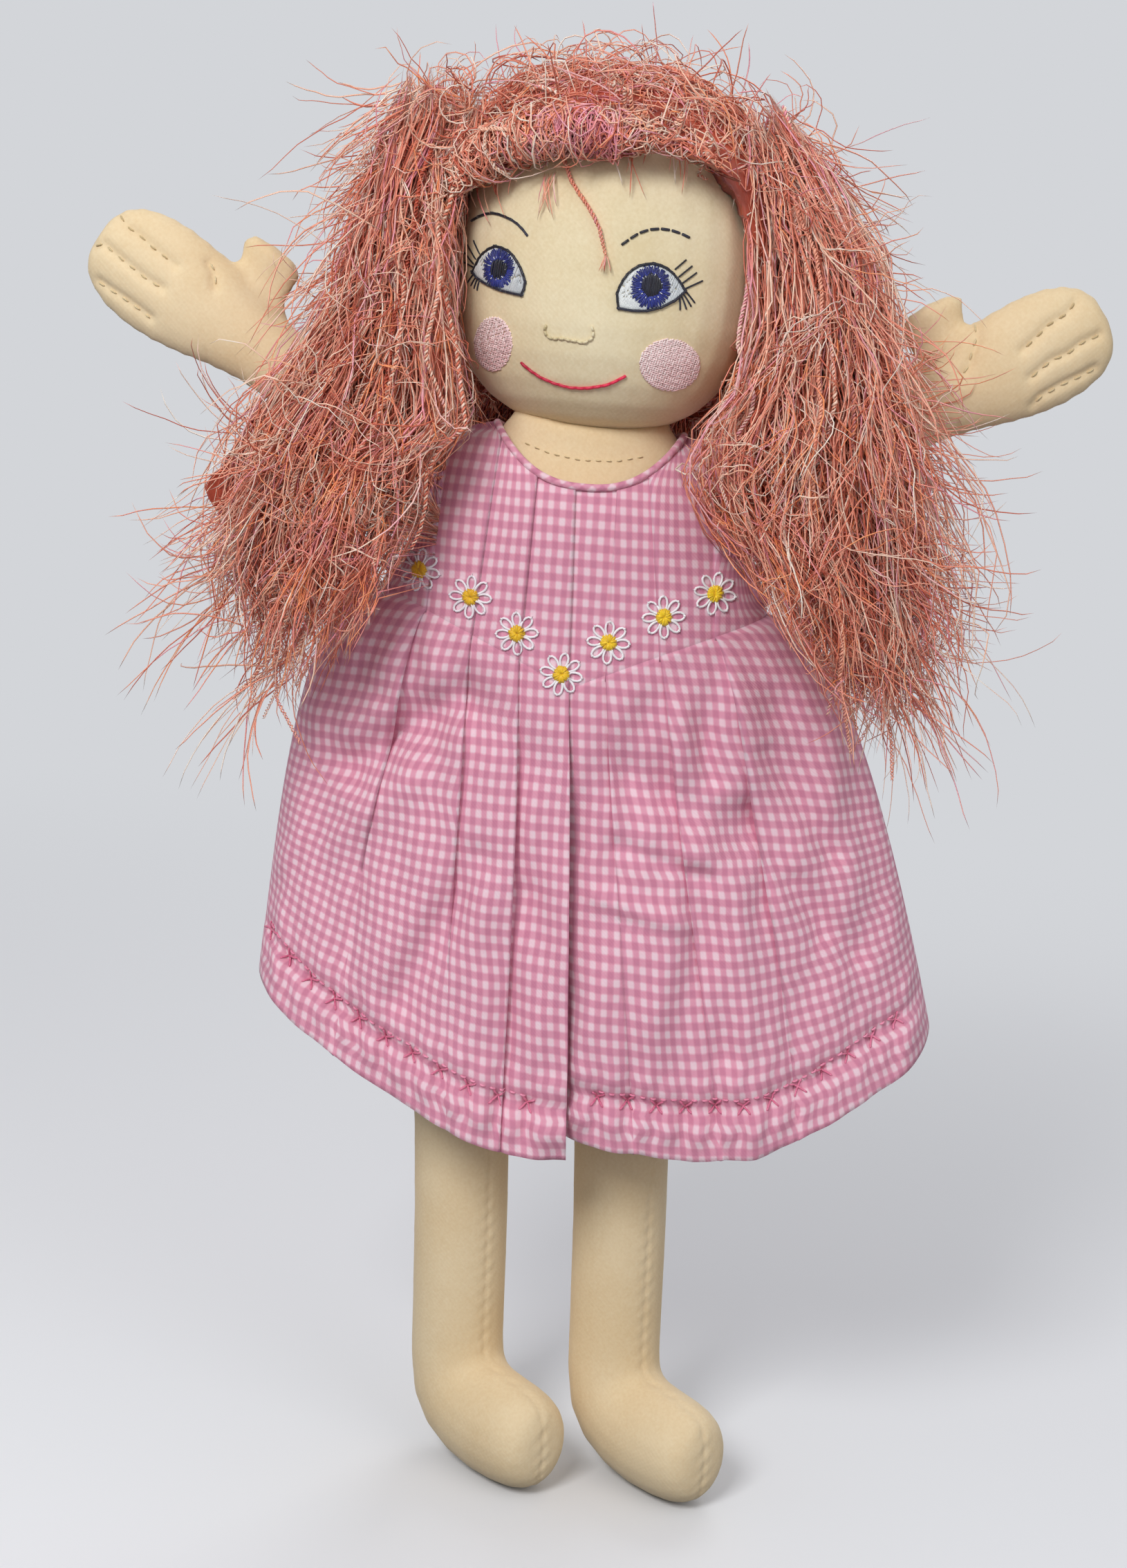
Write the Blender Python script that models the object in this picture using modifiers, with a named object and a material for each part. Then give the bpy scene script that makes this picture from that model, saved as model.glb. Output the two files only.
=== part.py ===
"""Stuffed rag doll in a gingham dress, with yarn hair and a stitched face.

Metres, +Z up, the doll faces -Y and stands on its soles at the origin.
Left and right are the doll's own: its left side is at +X.
"""
import math

import bmesh
import bpy
from mathutils import Euler, Matrix, Vector

# Sizes that the whole doll shares
GAP = 0.0003
CAGE_SHARE = 1.07
CAGE_SIDES = 10
CUT_OVERRUN = 0.010
WELD = 0.00001
RIGHT_ANGLE = math.radians(90.0)

# Body
TORSO_BOTTOM_Z = 0.204
TORSO_TOP_Z = 0.362
TORSO_WIDTH = 0.086
TORSO_DEPTH = 0.050
TORSO_CAGE_SHARES = (
    (0.00, 0.90, 0.36), (0.05, 0.98, 0.84), (0.22, 1.00, 1.00), (0.42, 0.95, 1.00),
    (0.62, 0.97, 0.97), (0.75, 1.00, 0.88), (0.85, 0.90, 0.68), (0.90, 0.64, 0.60),
    (0.95, 0.53, 0.58), (1.00, 0.52, 0.58))

# Head
HEAD_CENTRE_Z = 0.4025
HEAD_WIDTH = 0.096
HEAD_DEPTH = 0.074
HEAD_HEIGHT = 0.104
HEAD_TURN = math.radians(-14.0)
HEAD_CROWN_SHARE = 0.03
HEAD_SQUARE_SHARE = 2.6
NECK_PIVOT_SINK = 0.004
NECK_NOD = math.radians(12.0)

# Arms and hands
ARM_LENGTH = 0.132
ARM_ROUND = 0.006
ARM_HEIGHT = 0.0245
ARM_DEPTH = 0.021
WRIST_HEIGHT = 0.0205
WRIST_DEPTH = 0.0178
HAND_HEIGHT = 0.039
HAND_DEPTH = 0.018
HAND_LENGTH = 0.060
SHOULDER_Z = 0.3305
ARM_RAISE_LEFT = math.radians(31.5)
ARM_RAISE_RIGHT = math.radians(31.0)
THUMB_LENGTH = 0.017
THUMB_LEAN = 0.003
THUMB_PLACE_SHARE = 0.15
THUMB_STEP_SHARES = (0.55, 0.45)
THUMB_FLARE_SHARE = 1.25
THUMB_THICKNESS_SHARE = 1.45
UPWARD_SHARE = 0.6

# Rows of an arm: along, height and depth, of the seam's roundness, the arm and the hand
ARM_SEAM_SHARES = ((-1.0, 1.0, 1.0), (-0.5, 1.7, 1.6), (1.0, 2.3, 2.3))
ARM_CAGE_SHARES = ((0.30, 0.90, 0.85), (0.60, 1.00, 1.00))
HAND_CAGE_SHARES = ((0.30, 0.86, 1.00), (0.62, 1.00, 1.00), (0.88, 0.84, 0.90), (1.00, 0.42, 0.55))

# Legs and feet
LEG_SPACING = 0.0545
LEG_WIDTH = 0.0315
LEG_DEPTH = 0.031
HIP_ROUND = 0.006
FOOT_LENGTH = 0.064
FOOT_HEIGHT = 0.036
FOOT_WIDTH = 0.030
SOLE_CUT = 0.0005
FOOT_TURN_LEFT = math.radians(42.0)
FOOT_TURN_RIGHT = math.radians(43.0)
LEG_LEAN_LEFT = 0.0080
LEG_LEAN_RIGHT = 0.0085
HIP_PROBE_SHARE = 0.6

# Rows of a leg: up as a share of the seam's roundness, half width and half depth
LEG_CAGE_SHARES = (
    (1.0, 0.36, 0.14), (0.5, 0.48, 0.19), (-2.2, 0.54, 0.20), (-4.5, 0.56, 0.35),
    (-9.0, 0.56, 0.54))
KNEE_DROP_SHARE = 0.45
KNEE_GIRTH_SHARE = 0.55
KNEE_LEAN_SHARE = 0.50

# Rows of a foot: forward, up, tilt as a share of a right angle, half width and half height
FOOT_CAGE_SHARES = (
    (0.000, 1.30, 0.00, 0.56, 0.465), (0.010, 0.70, 0.45, 0.56, 0.60),
    (0.220, 0.49, 0.86, 0.56, 0.57), (0.530, 0.49, 1.00, 0.56, 0.535),
    (0.690, 0.50, 1.02, 0.50, 0.47), (0.760, 0.51, 1.02, 0.28, 0.30))

# Dress cloth and outline, with the powers that shape its curves
CLOTH = 0.0010
YOKE_HALF_WIDTH = 0.0620
YOKE_SHOULDER_SHARE = 0.82
NECKLINE_Z = 0.3375
NECKLINE_HALF_WIDTH = 0.0300
BACK_NECKLINE_Z = 0.3430
SHOULDER_SEAM_Z = 0.3510
STRAP_OUTER_X = 0.0450
STRAP_DROP = 0.0040
ARMPIT_Z = 0.3020
YOKE_SIDE_Z = 0.2965
YOKE_POINT_Z = 0.2700
DRESS_EASE = 0.0025
SKIRT_FLARE_SHARE = 0.43
HEM_HALF_WIDTH = 0.1120
HEM_SHIFT_X = 0.0180
PLEAT_SHIFT_X = 0.0110
HEM_SIDE_Z = 0.1570
HEM_FRONT_Z = 0.1270
HEM_BACK_Z = 0.1400
HEM_FRONT_DEPTH = 0.0460
HEM_BACK_DEPTH = 0.0340
FRILL_HEIGHT = 0.0130
FRILL_FLARE = 0.0020
PLEAT_DEPTH = 0.0070
FRONT_PLEATS = 3
BACK_PLEATS = 3
PIPING = 0.0011
SIDE_POWER_SHARE = 2.4
SHOULDER_POWER_SHARE = 4.0
NECKLINE_POWER_SHARE = 2.5
YOKE_EDGE_POWER_SHARE = 0.9
HEM_POWER_SHARE = 2.2

# Daisies on the point of the yoke, as shares of the yoke's half width
DAISY_SIZE = 0.0128
DAISY_THICKNESS = 0.0008
DAISY_RISE = 0.0040
DAISY_PETALS = 8
DAISY_PETAL_SHARE = 0.34
DAISY_PLACE_SHARES = (-0.77, -0.53, -0.29, -0.05, 0.20, 0.45, 0.70)

# Buttons of the back opening
BUTTON_SIZE = 0.0090
BUTTON_THICKNESS = 0.0020
BUTTON_RIM = 0.0005
BUTTON_DROP = 0.0090
BUTTON_PITCH = 0.0300

# Face, as places on the head measured from its middle
STITCH_THICKNESS = 0.0005
EYE_SPACING = 0.0486
EYE_DROP = 0.0053
EYE_WIDTH = 0.0250
EYE_HEIGHT = 0.0185
IRIS_WIDTH = 0.0140
IRIS_HEIGHT = 0.0165
PUPIL_SIZE = 0.0068
BROW_RISE = 0.0095
BROW_WIDTH = 0.0210
BROW_ARCH = 0.0035
BROW_THREAD = 0.0007
CHEEK_SPACING = 0.0580
CHEEK_DROP = 0.0290
CHEEK_SIZE = 0.0200
NOSE_DROP = 0.0240
NOSE_WIDTH = 0.0150
NOSE_HEIGHT = 0.0048
NOSE_THREAD = 0.0005
NOSE_POWER_SHARE = 4.0
MOUTH_DROP = 0.0337
MOUTH_WIDTH = 0.0340
MOUTH_SAG = 0.0055
MOUTH_THREAD = 0.0006

# Yarn hair, as the outer shape of its masses
HAIR_THICKNESS = 0.0110
HAIRLINE_RISE = 0.0420
HAIRLINE_FRONT = 0.0330
NAPE_DROP = 0.0400
NAPE_BACK = 0.0040
NAPE_CUT = 0.0440
FRINGE_RADIUS = 0.0090
FRINGE_RISE = 0.0360
FRINGE_DROP = 0.0300
FRINGE_REACH_SHARE = 0.93
FRINGE_TURN = math.radians(82.0)
BUNCH_TOP_Z = 0.4420
BUNCH_BOTTOM_RIGHT_Z = 0.2540
BUNCH_BOTTOM_LEFT_Z = 0.2450
BUNCH_TUCK = 0.0020
BUNCH_SPAN_RIGHT = 0.0810
BUNCH_SPAN_LEFT = 0.0720
BUNCH_BACK_Y = 0.0180
BUNCH_DEPTH = 0.0280
BACK_HAIR_BOTTOM_Z = 0.2640
BACK_HAIR_TOP_Z = 0.3720
BACK_HAIR_WIDTH = 0.1460
BACK_HAIR_DEPTH = 0.0130
BACK_HAIR_CLEARANCE = 0.0150

# Rows of a bunch from its top: down, middle and half width across, forward, thickness
BUNCH_CAGE_SHARES = (
    (0.00, 0.13, 0.10, -0.50, 0.55), (0.08, 0.18, 0.18, -0.30, 0.80),
    (0.22, 0.23, 0.22, 0.06, 0.95), (0.36, 0.31, 0.31, 0.28, 0.95),
    (0.49, 0.39, 0.43, 0.42, 1.00), (0.62, 0.50, 0.49, 0.51, 0.95),
    (0.76, 0.54, 0.44, 0.53, 0.85), (0.89, 0.54, 0.32, 0.53, 0.70),
    (0.97, 0.54, 0.18, 0.52, 0.50), (1.00, 0.54, 0.09, 0.52, 0.30))
BACK_HAIR_CAGE_SHARES = (
    (0.00, 0.70, 0.60), (0.14, 0.80, 1.00), (0.55, 0.97, 1.00), (0.85, 0.95, 0.85),
    (0.96, 0.74, 0.60), (1.00, 0.50, 0.40))

COLOURS = {
    "skin": (0.87, 0.72, 0.50, 0.90),
    "face": (0.80, 0.70, 0.52, 0.90),
    "gingham": (0.86, 0.42, 0.52, 0.85),
    "piping": (0.80, 0.34, 0.46, 0.80),
    "white_thread": (0.88, 0.87, 0.84, 0.60),
    "blue_thread": (0.07, 0.10, 0.42, 0.55),
    "black_thread": (0.02, 0.02, 0.05, 0.55),
    "pink_thread": (0.84, 0.50, 0.55, 0.60),
    "red_thread": (0.55, 0.02, 0.06, 0.55),
    "cream_thread": (0.80, 0.70, 0.50, 0.60),
    "hair": (0.78, 0.33, 0.24, 0.45),
    "button": (0.90, 0.80, 0.80, 0.30),
}


# Scene and material helpers
def clear_scene():
    for item in list(bpy.data.objects):
        bpy.data.objects.remove(item, do_unlink=True)


def new_collection(name):
    collection = bpy.data.collections.new(name)
    bpy.context.scene.collection.children.link(collection)
    return collection


def finish_colour(kind):
    material = bpy.data.materials.get(kind) or bpy.data.materials.new(kind)
    red, green, blue, roughness = COLOURS[kind]
    material.use_nodes = True
    shader = material.node_tree.nodes["Principled BSDF"]
    shader.inputs["Base Color"].default_value = (red, green, blue, 1.0)
    shader.inputs["Roughness"].default_value = roughness
    shader.inputs["Metallic"].default_value = 0.0
    return material


def add_piece(name, bm, kind):
    """Turn a bmesh into a named node of the doll."""
    bmesh.ops.recalc_face_normals(bm, faces=bm.faces)
    mesh = bpy.data.meshes.new(name)
    bm.to_mesh(mesh)
    bm.free()
    mesh.shade_smooth()
    piece = bpy.data.objects.new(name, mesh)
    piece.data.materials.append(finish_colour(kind).copy())
    DOLL.objects.link(piece)
    return piece


def evaluated_copy(piece):
    """The piece's final mesh in world space."""
    bpy.context.view_layer.update()
    graph = bpy.context.evaluated_depsgraph_get()
    mesh = bpy.data.meshes.new_from_object(piece.evaluated_get(graph))
    mesh.transform(piece.matrix_world)
    return mesh


def world_box(piece):
    mesh = evaluated_copy(piece)
    corners = [v.co for v in mesh.vertices]
    low = Vector([min(c[i] for c in corners) for i in range(3)])
    high = Vector([max(c[i] for c in corners) for i in range(3)])
    bpy.data.meshes.remove(mesh)
    return low, high


def fit(piece, low, high):
    """Stretch a piece's cage so that its final form just fills a box."""
    old_low, old_high = world_box(piece)
    for vertex in piece.data.vertices:
        for axis in range(3):
            if low[axis] is None:
                continue
            span = old_high[axis] - old_low[axis]
            share = (vertex.co[axis] - old_low[axis]) / span
            vertex.co[axis] = low[axis] + share * (high[axis] - low[axis])


def soften(piece, levels):
    modifier = piece.modifiers.new("stuffed form", "SUBSURF")
    modifier.levels = levels
    modifier.render_levels = levels
    return piece


def row(start, end, count):
    return [start + (end - start) * i / (count - 1) for i in range(count)]


def surface_point(piece, origin, direction):
    """Where a ray first meets a piece."""
    bpy.context.view_layer.update()
    graph = bpy.context.evaluated_depsgraph_get()
    hit, place, _, _ = piece.evaluated_get(graph).ray_cast(Vector(origin), Vector(direction))
    if not hit:
        raise ValueError("the ray misses " + piece.name)
    return place


# Cuts that seat one soft piece against another
def cutter_from(piece, clearance, turn=None):
    """A copy of a piece, swollen by a clearance, used only to cut."""
    mesh = evaluated_copy(piece)
    offsets = [v.normal.copy() for v in mesh.vertices]
    for vertex, normal in zip(mesh.vertices, offsets):
        vertex.co += clearance * normal
    if turn is not None:
        mesh.transform(turn)
    cutter = bpy.data.objects.new(piece.name + "_cutter", mesh)
    return hide_cutter(cutter)


def hide_cutter(cutter):
    CUTTERS.objects.link(cutter)
    cutter.hide_render = True
    cutter.display_type = "WIRE"
    return cutter


def box_cutter(low, high):
    bm = bmesh.new()
    bmesh.ops.create_cube(bm, size=1.0)
    middle = (Vector(low) + Vector(high)) / 2
    size = Vector(high) - Vector(low)
    for vertex in bm.verts:
        vertex.co = middle + Vector([vertex.co[i] * size[i] for i in range(3)])
    mesh = bpy.data.meshes.new("box_cutter")
    bm.to_mesh(mesh)
    bm.free()
    return hide_cutter(bpy.data.objects.new("box_cutter", mesh))


def cut(piece, cutter):
    modifier = piece.modifiers.new("seat", "BOOLEAN")
    modifier.operation = "DIFFERENCE"
    modifier.solver = "EXACT"
    modifier.object = cutter
    return piece


# Forms that a pattern cutter would draw
def ring_place(centre, turn, tilt, half_width, half_depth):
    """Matrix that lays a unit circle across a limb."""
    spin = Euler((tilt, 0.0, turn)).to_matrix().to_4x4()
    return Matrix.Translation(centre) @ spin @ Matrix.Diagonal((half_width, half_depth, 1, 1))


def limb_cage(rings, sides):
    """Closed cage through a row of rings."""
    bm = bmesh.new()
    loops = []
    for index, ring in enumerate(rings):
        at_end = index in (0, len(rings) - 1)
        made = bmesh.ops.create_circle(bm, cap_ends=at_end, segments=sides, radius=1.0, matrix=ring)
        corners = set(made["verts"])
        loops.append([e for e in bm.edges if corners.issuperset(e.verts)])
    for first, second in zip(loops, loops[1:]):
        bmesh.ops.bridge_loops(bm, edges=first + second)
    return bm


def thread_curve(name, points, radius, kind, resolution=1):
    """A round thread or piping through a row of points."""
    curve = bpy.data.curves.new(name, "CURVE")
    curve.dimensions = "3D"
    curve.bevel_depth = radius
    curve.bevel_resolution = resolution
    curve.use_fill_caps = True
    spline = curve.splines.new("POLY")
    spline.points.add(len(points) - 1)
    for spot, place in zip(spline.points, points):
        spot.co = (*place, 1.0)
    piece = bpy.data.objects.new(name, curve)
    curve.materials.append(finish_colour(kind).copy())
    DOLL.objects.link(piece)
    return piece


def as_mesh(piece):
    """Swap a curve for its welded mesh, so that it can be cut."""
    mesh = evaluated_copy(piece)
    bm = bmesh.new()
    bm.from_mesh(mesh)
    bmesh.ops.remove_doubles(bm, verts=bm.verts, dist=WELD)
    bm.to_mesh(mesh)
    bm.free()
    name = piece.name
    bpy.data.objects.remove(piece, do_unlink=True)
    solid = bpy.data.objects.new(name, mesh)
    DOLL.objects.link(solid)
    return solid


# Body
def make_torso():
    rings = []
    for along, width, depth in TORSO_CAGE_SHARES:
        height = TORSO_BOTTOM_Z + along * (TORSO_TOP_Z - TORSO_BOTTOM_Z)
        centre = (0, 0, height)
        rings.append(ring_place(centre, 0, 0, width * TORSO_WIDTH / 2, depth * TORSO_DEPTH / 2))
    torso = soften(add_piece("torso", limb_cage(rings, CAGE_SIDES), "skin"), 1)
    low = (-TORSO_WIDTH / 2, -TORSO_DEPTH / 2, TORSO_BOTTOM_Z)
    high = (TORSO_WIDTH / 2, TORSO_DEPTH / 2, TORSO_TOP_Z)
    fit(torso, low, high)
    return torso


def head_fullness(rise):
    """Share of the head's girth at a height from -1 to 1: full cheeks, narrower crown."""
    round_share = max(0.0, 1 - abs(rise) ** HEAD_SQUARE_SHARE) ** (1 / HEAD_SQUARE_SHARE)
    return round_share * (1 - HEAD_CROWN_SHARE * rise)


def head_form(bm, extra):
    """Shape a unit sphere into the head, grown all round by an extra thickness."""
    for vertex in bm.verts:
        x, y, z = vertex.co
        girth = head_fullness(z) / max(math.sqrt(x * x + y * y), GAP) if abs(z) < 1 else 0.0
        vertex.co = (x * girth * (HEAD_WIDTH / 2 + extra), y * girth * (HEAD_DEPTH / 2 + extra),
                     z * (HEAD_HEIGHT / 2 + extra))


def head_frame():
    place = Matrix.Translation((0, 0, HEAD_CENTRE_Z))
    return place @ Matrix.Rotation(HEAD_TURN, 4, "Z")


def face_point(across, up, lift):
    """Point on the face, from its middle line and the head's middle height."""
    fullness = head_fullness(up / (HEAD_HEIGHT / 2 + lift))
    side = across / ((HEAD_WIDTH / 2 + lift) * fullness)
    depth = (HEAD_DEPTH / 2 + lift) * fullness * math.sqrt(max(0.0, 1 - side * side))
    return head_frame() @ Vector((across, -depth, up))


def make_head():
    bm = bmesh.new()
    bmesh.ops.create_uvsphere(bm, u_segments=28, v_segments=16, radius=1.0)
    head_form(bm, 0.0)
    head = add_piece("head", bm, "face")
    head.matrix_world = head_frame()
    return head


def neck_pivot():
    return Vector((0, 0, HEAD_CENTRE_Z - HEAD_HEIGHT / 2 + NECK_PIVOT_SINK))


def seat_neck(torso, head):
    """The neck's top is dished by the head at both ends of its nod."""
    pivot = neck_pivot()
    for angle in (-NECK_NOD, 0.0, NECK_NOD):
        turn = Matrix.Translation(pivot) @ Matrix.Rotation(angle, 4, "X") @ Matrix.Translation(-pivot)
        cut(torso, cutter_from(head, GAP, turn))


# Arms
def arm_rings():
    """Rings from the shoulder seam to the finger tips, along +X."""
    wrist = ARM_LENGTH - HAND_LENGTH
    stations = [(a * ARM_ROUND, h * ARM_ROUND, d * ARM_ROUND) for a, h, d in ARM_SEAM_SHARES]
    stations += [(a * wrist, h * ARM_HEIGHT, d * ARM_DEPTH) for a, h, d in ARM_CAGE_SHARES]
    stations.append((wrist, WRIST_HEIGHT, WRIST_DEPTH))
    stations += [(wrist + a * HAND_LENGTH, h * HAND_HEIGHT, d * HAND_DEPTH)
                 for a, h, d in HAND_CAGE_SHARES]
    flat_side_up = Matrix.Rotation(2 * RIGHT_ANGLE / CAGE_SIDES, 4, "Z")
    spin = Matrix.Rotation(RIGHT_ANGLE, 4, "Y") @ flat_side_up
    rings = []
    for along, height, depth in stations:
        shape = Matrix.Diagonal((1, CAGE_SHARE * depth / 2, CAGE_SHARE * height / 2, 1))
        rings.append(Matrix.Translation((along, 0, 0)) @ shape @ spin)
    return rings


def grow_thumb(bm):
    """Pull the thumb out of the hand's upper edge."""
    root = ARM_LENGTH - HAND_LENGTH + THUMB_PLACE_SHARE * HAND_LENGTH
    bm.faces.ensure_lookup_table()
    upper = [f for f in bm.faces if f.normal.z > UPWARD_SHARE and len(f.verts) == 4]
    face = min(upper, key=lambda f: abs(f.calc_center_median().x - root))
    for step in THUMB_STEP_SHARES:
        made = bmesh.ops.extrude_discrete_faces(bm, faces=[face])
        face = made["faces"][0]
        middle = face.calc_center_median()
        move = Vector((THUMB_LEAN, 0, THUMB_LENGTH)) * step
        for vertex in face.verts:
            away = vertex.co - middle
            away.x *= THUMB_FLARE_SHARE
            away.y *= THUMB_THICKNESS_SHARE
            away.z = 0
            vertex.co = middle + away + move
    return bm


def make_arm(name, side, raise_angle, torso):
    """One arm, hinged in the shoulder seam. side is +1 at the doll's left."""
    start = (side * TORSO_WIDTH, 0, SHOULDER_Z)
    seam = surface_point(torso, start, (-side, 0, 0))
    pivot = Vector((seam.x + side * (ARM_ROUND + GAP), 0, SHOULDER_Z))
    bm = limb_cage(arm_rings(), CAGE_SIDES)
    bmesh.ops.recalc_face_normals(bm, faces=bm.faces)
    grow_thumb(bm)
    arm = soften(add_piece(name, bm, "skin"), 1)
    fit(arm, (-ARM_ROUND, None, None), (ARM_LENGTH, None, None))
    if side < 0:
        mirror = Matrix.Scale(-1, 4, (1, 0, 0))
        arm.data.transform(mirror)
        arm.data.flip_normals()
    arm.location = pivot
    arm.rotation_euler = (0, -side * raise_angle, 0)
    print(name, "pivot", [round(c, 5) for c in pivot])
    return arm


# Legs
def leg_rings(lean, foot_turn):
    """Rings from the hip seam to the toe. The foot points along its turn."""
    toe_way = Vector((math.sin(foot_turn), -math.cos(foot_turn), 0))
    ankle = Vector((lean, 0, 0))
    sole = Vector((0, 0, -HIP_HEIGHT))
    knee = KNEE_LEAN_SHARE * ankle - Vector((0, 0, KNEE_DROP_SHARE * (HIP_HEIGHT - FOOT_HEIGHT)))
    rings = []
    for up, width, depth in LEG_CAGE_SHARES:
        rings.append(ring_place((0, 0, up * HIP_ROUND), 0, 0, width * LEG_WIDTH, depth * LEG_DEPTH))
    rings.append(ring_place(knee, 0, 0, KNEE_GIRTH_SHARE * LEG_WIDTH, KNEE_GIRTH_SHARE * LEG_DEPTH))
    for forward, up, tilt, width, height in FOOT_CAGE_SHARES:
        centre = ankle + toe_way * forward * FOOT_LENGTH + sole + Vector((0, 0, up * FOOT_HEIGHT))
        rings.append(ring_place(centre, foot_turn, -tilt * RIGHT_ANGLE, width * FOOT_WIDTH,
                                height * FOOT_HEIGHT))
    return rings


def hip_axis(torso):
    """Height of the hip seams' axis, just under the torso's bottom edge."""
    inner = (LEG_SPACING - LEG_WIDTH) / 2
    outer = (LEG_SPACING + HIP_PROBE_SHARE * LEG_WIDTH) / 2
    heights = []
    for across in row(inner, outer, 7):
        start = (across, 0, 0)
        heights.append(surface_point(torso, start, (0, 0, 1)).z)
    return min(heights) - GAP - HIP_ROUND


def make_leg(name, side, lean, foot_turn):
    leg = soften(add_piece(name, limb_cage(leg_rings(lean, foot_turn), CAGE_SIDES), "skin"), 1)
    bottom = -HIP_HEIGHT - SOLE_CUT
    fit(leg, (None, None, bottom), (None, None, HIP_ROUND))
    leg.location = (side * LEG_SPACING / 2, 0, HIP_HEIGHT)
    reach = FOOT_LENGTH + CUT_OVERRUN
    floor = box_cutter((leg.location.x - reach, -reach, -CUT_OVERRUN), (leg.location.x + reach, reach, 0))
    cut(leg, floor)
    print(name, "pivot", [round(c, 5) for c in leg.location])
    return leg


# Dress surface
def blend_between(value, points):
    """Smooth height along a short row of (place, height) pairs."""
    if value <= points[0][0]:
        return points[0][1]
    for (x0, y0), (x1, y1) in zip(points, points[1:]):
        if value <= x1:
            share = (value - x0) / (x1 - x0)
            share = share * share * (3 - 2 * share)
            return y0 + share * (y1 - y0)
    return points[-1][1]


def dress_half_width(z):
    """Half the dress's width at a height on its side seam."""
    drop = min(1.0, max(0.0, (YOKE_SIDE_Z - z) / (YOKE_SIDE_Z - HEM_SIDE_Z)))
    return YOKE_HALF_WIDTH + (HEM_HALF_WIDTH - YOKE_HALF_WIDTH) * drop ** SKIRT_FLARE_SHARE


def yoke_half_width(z):
    return blend_between(z, (
        (YOKE_SIDE_Z, YOKE_HALF_WIDTH),
        (SHOULDER_SEAM_Z, YOKE_SHOULDER_SHARE * YOKE_HALF_WIDTH)))


def shoulder_line(offset):
    share = (abs(offset) - NECKLINE_HALF_WIDTH) / (STRAP_OUTER_X - NECKLINE_HALF_WIDTH)
    return SHOULDER_SEAM_Z - STRAP_DROP * max(0.0, share)


def dress_depth(z, front, offset=0.0):
    """How far the cloth stands from the side seams, closing at the shoulder seam."""
    yoke = TORSO_DEPTH / 2 + DRESS_EASE
    hem = HEM_FRONT_DEPTH if front else HEM_BACK_DEPTH
    if z <= YOKE_SIDE_Z:
        return blend_between(z, ((HEM_FRONT_Z, hem), (YOKE_SIDE_Z, yoke)))
    rise = (z - YOKE_SIDE_Z) / (shoulder_line(offset) - YOKE_SIDE_Z)
    return yoke * math.sqrt(max(0.0, 1 - rise ** SHOULDER_POWER_SHARE))


def dress_centre(z):
    share = (YOKE_SIDE_Z - z) / (YOKE_SIDE_Z - HEM_SIDE_Z)
    return HEM_SHIFT_X * min(1.0, max(0.0, share))


def dress_point(x, z, side, front):
    """Outer face of the dress, side being the share of its half width there."""
    depth = dress_depth(z, front, side * YOKE_HALF_WIDTH)
    depth *= math.sqrt(max(0.0, 1 - min(1.0, abs(side)) ** SIDE_POWER_SHARE))
    depth += GAP / 2 + CLOTH
    return Vector((x, -depth if front else depth, z))


def yoke_point(offset, z):
    return dress_point(offset, z, offset / yoke_half_width(z), True)


def dress_top(offset, neckline):
    """Height of the cut edge: neckline, shoulder seam, then armhole."""
    reach = abs(offset)
    if reach <= NECKLINE_HALF_WIDTH:
        share = (reach / NECKLINE_HALF_WIDTH) ** NECKLINE_POWER_SHARE
        return neckline + share * (SHOULDER_SEAM_Z - neckline)
    if reach <= STRAP_OUTER_X:
        share = (reach - NECKLINE_HALF_WIDTH) / (STRAP_OUTER_X - NECKLINE_HALF_WIDTH)
        return SHOULDER_SEAM_Z - share * STRAP_DROP
    share = min(1.0, (reach - STRAP_OUTER_X) / (YOKE_HALF_WIDTH - STRAP_OUTER_X))
    strap_z = SHOULDER_SEAM_Z - STRAP_DROP
    return ARMPIT_Z + (strap_z - ARMPIT_Z) * (1 - share) ** NECKLINE_POWER_SHARE


def yoke_edge(offset):
    """The V under the daisies, where the tucks end."""
    share = min(1.0, abs(offset) / YOKE_HALF_WIDTH)
    return YOKE_POINT_Z + (YOKE_SIDE_Z - YOKE_POINT_Z) * share ** YOKE_EDGE_POWER_SHARE


def hem_height(share, front):
    low = HEM_FRONT_Z if front else HEM_BACK_Z
    return low + (HEM_SIDE_Z - low) * abs(share) ** HEM_POWER_SHARE


def cloth_sheet(name, columns, rows, place):
    """A sheet with a thickness, from a grid laid on a surface."""
    bm = bmesh.new()
    bmesh.ops.create_grid(bm, x_segments=columns, y_segments=rows, size=0.5)
    for vertex in bm.verts:
        vertex.co = place(vertex.co.x + 0.5, vertex.co.y + 0.5)
    piece = add_piece(name, bm, "gingham")
    shell = piece.modifiers.new("cloth", "SOLIDIFY")
    shell.thickness = CLOTH
    shell.offset = -1.0
    return piece


def outward(piece, way):
    """Turn a sheet so that its face looks the given way along Y."""
    if sum(p.normal.y * p.area for p in piece.data.polygons) * way < 0:
        piece.data.flip_normals()
    return piece


def make_yoke():
    def place(u, v):
        offset = YOKE_HALF_WIDTH * math.sin(RIGHT_ANGLE * (2 * u - 1))
        low = yoke_edge(offset)
        z = low + v * (dress_top(offset, NECKLINE_Z) - low)
        return yoke_point(offset, z)
    return outward(cloth_sheet("dress_yoke", 24, 5, place), -1)


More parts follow.
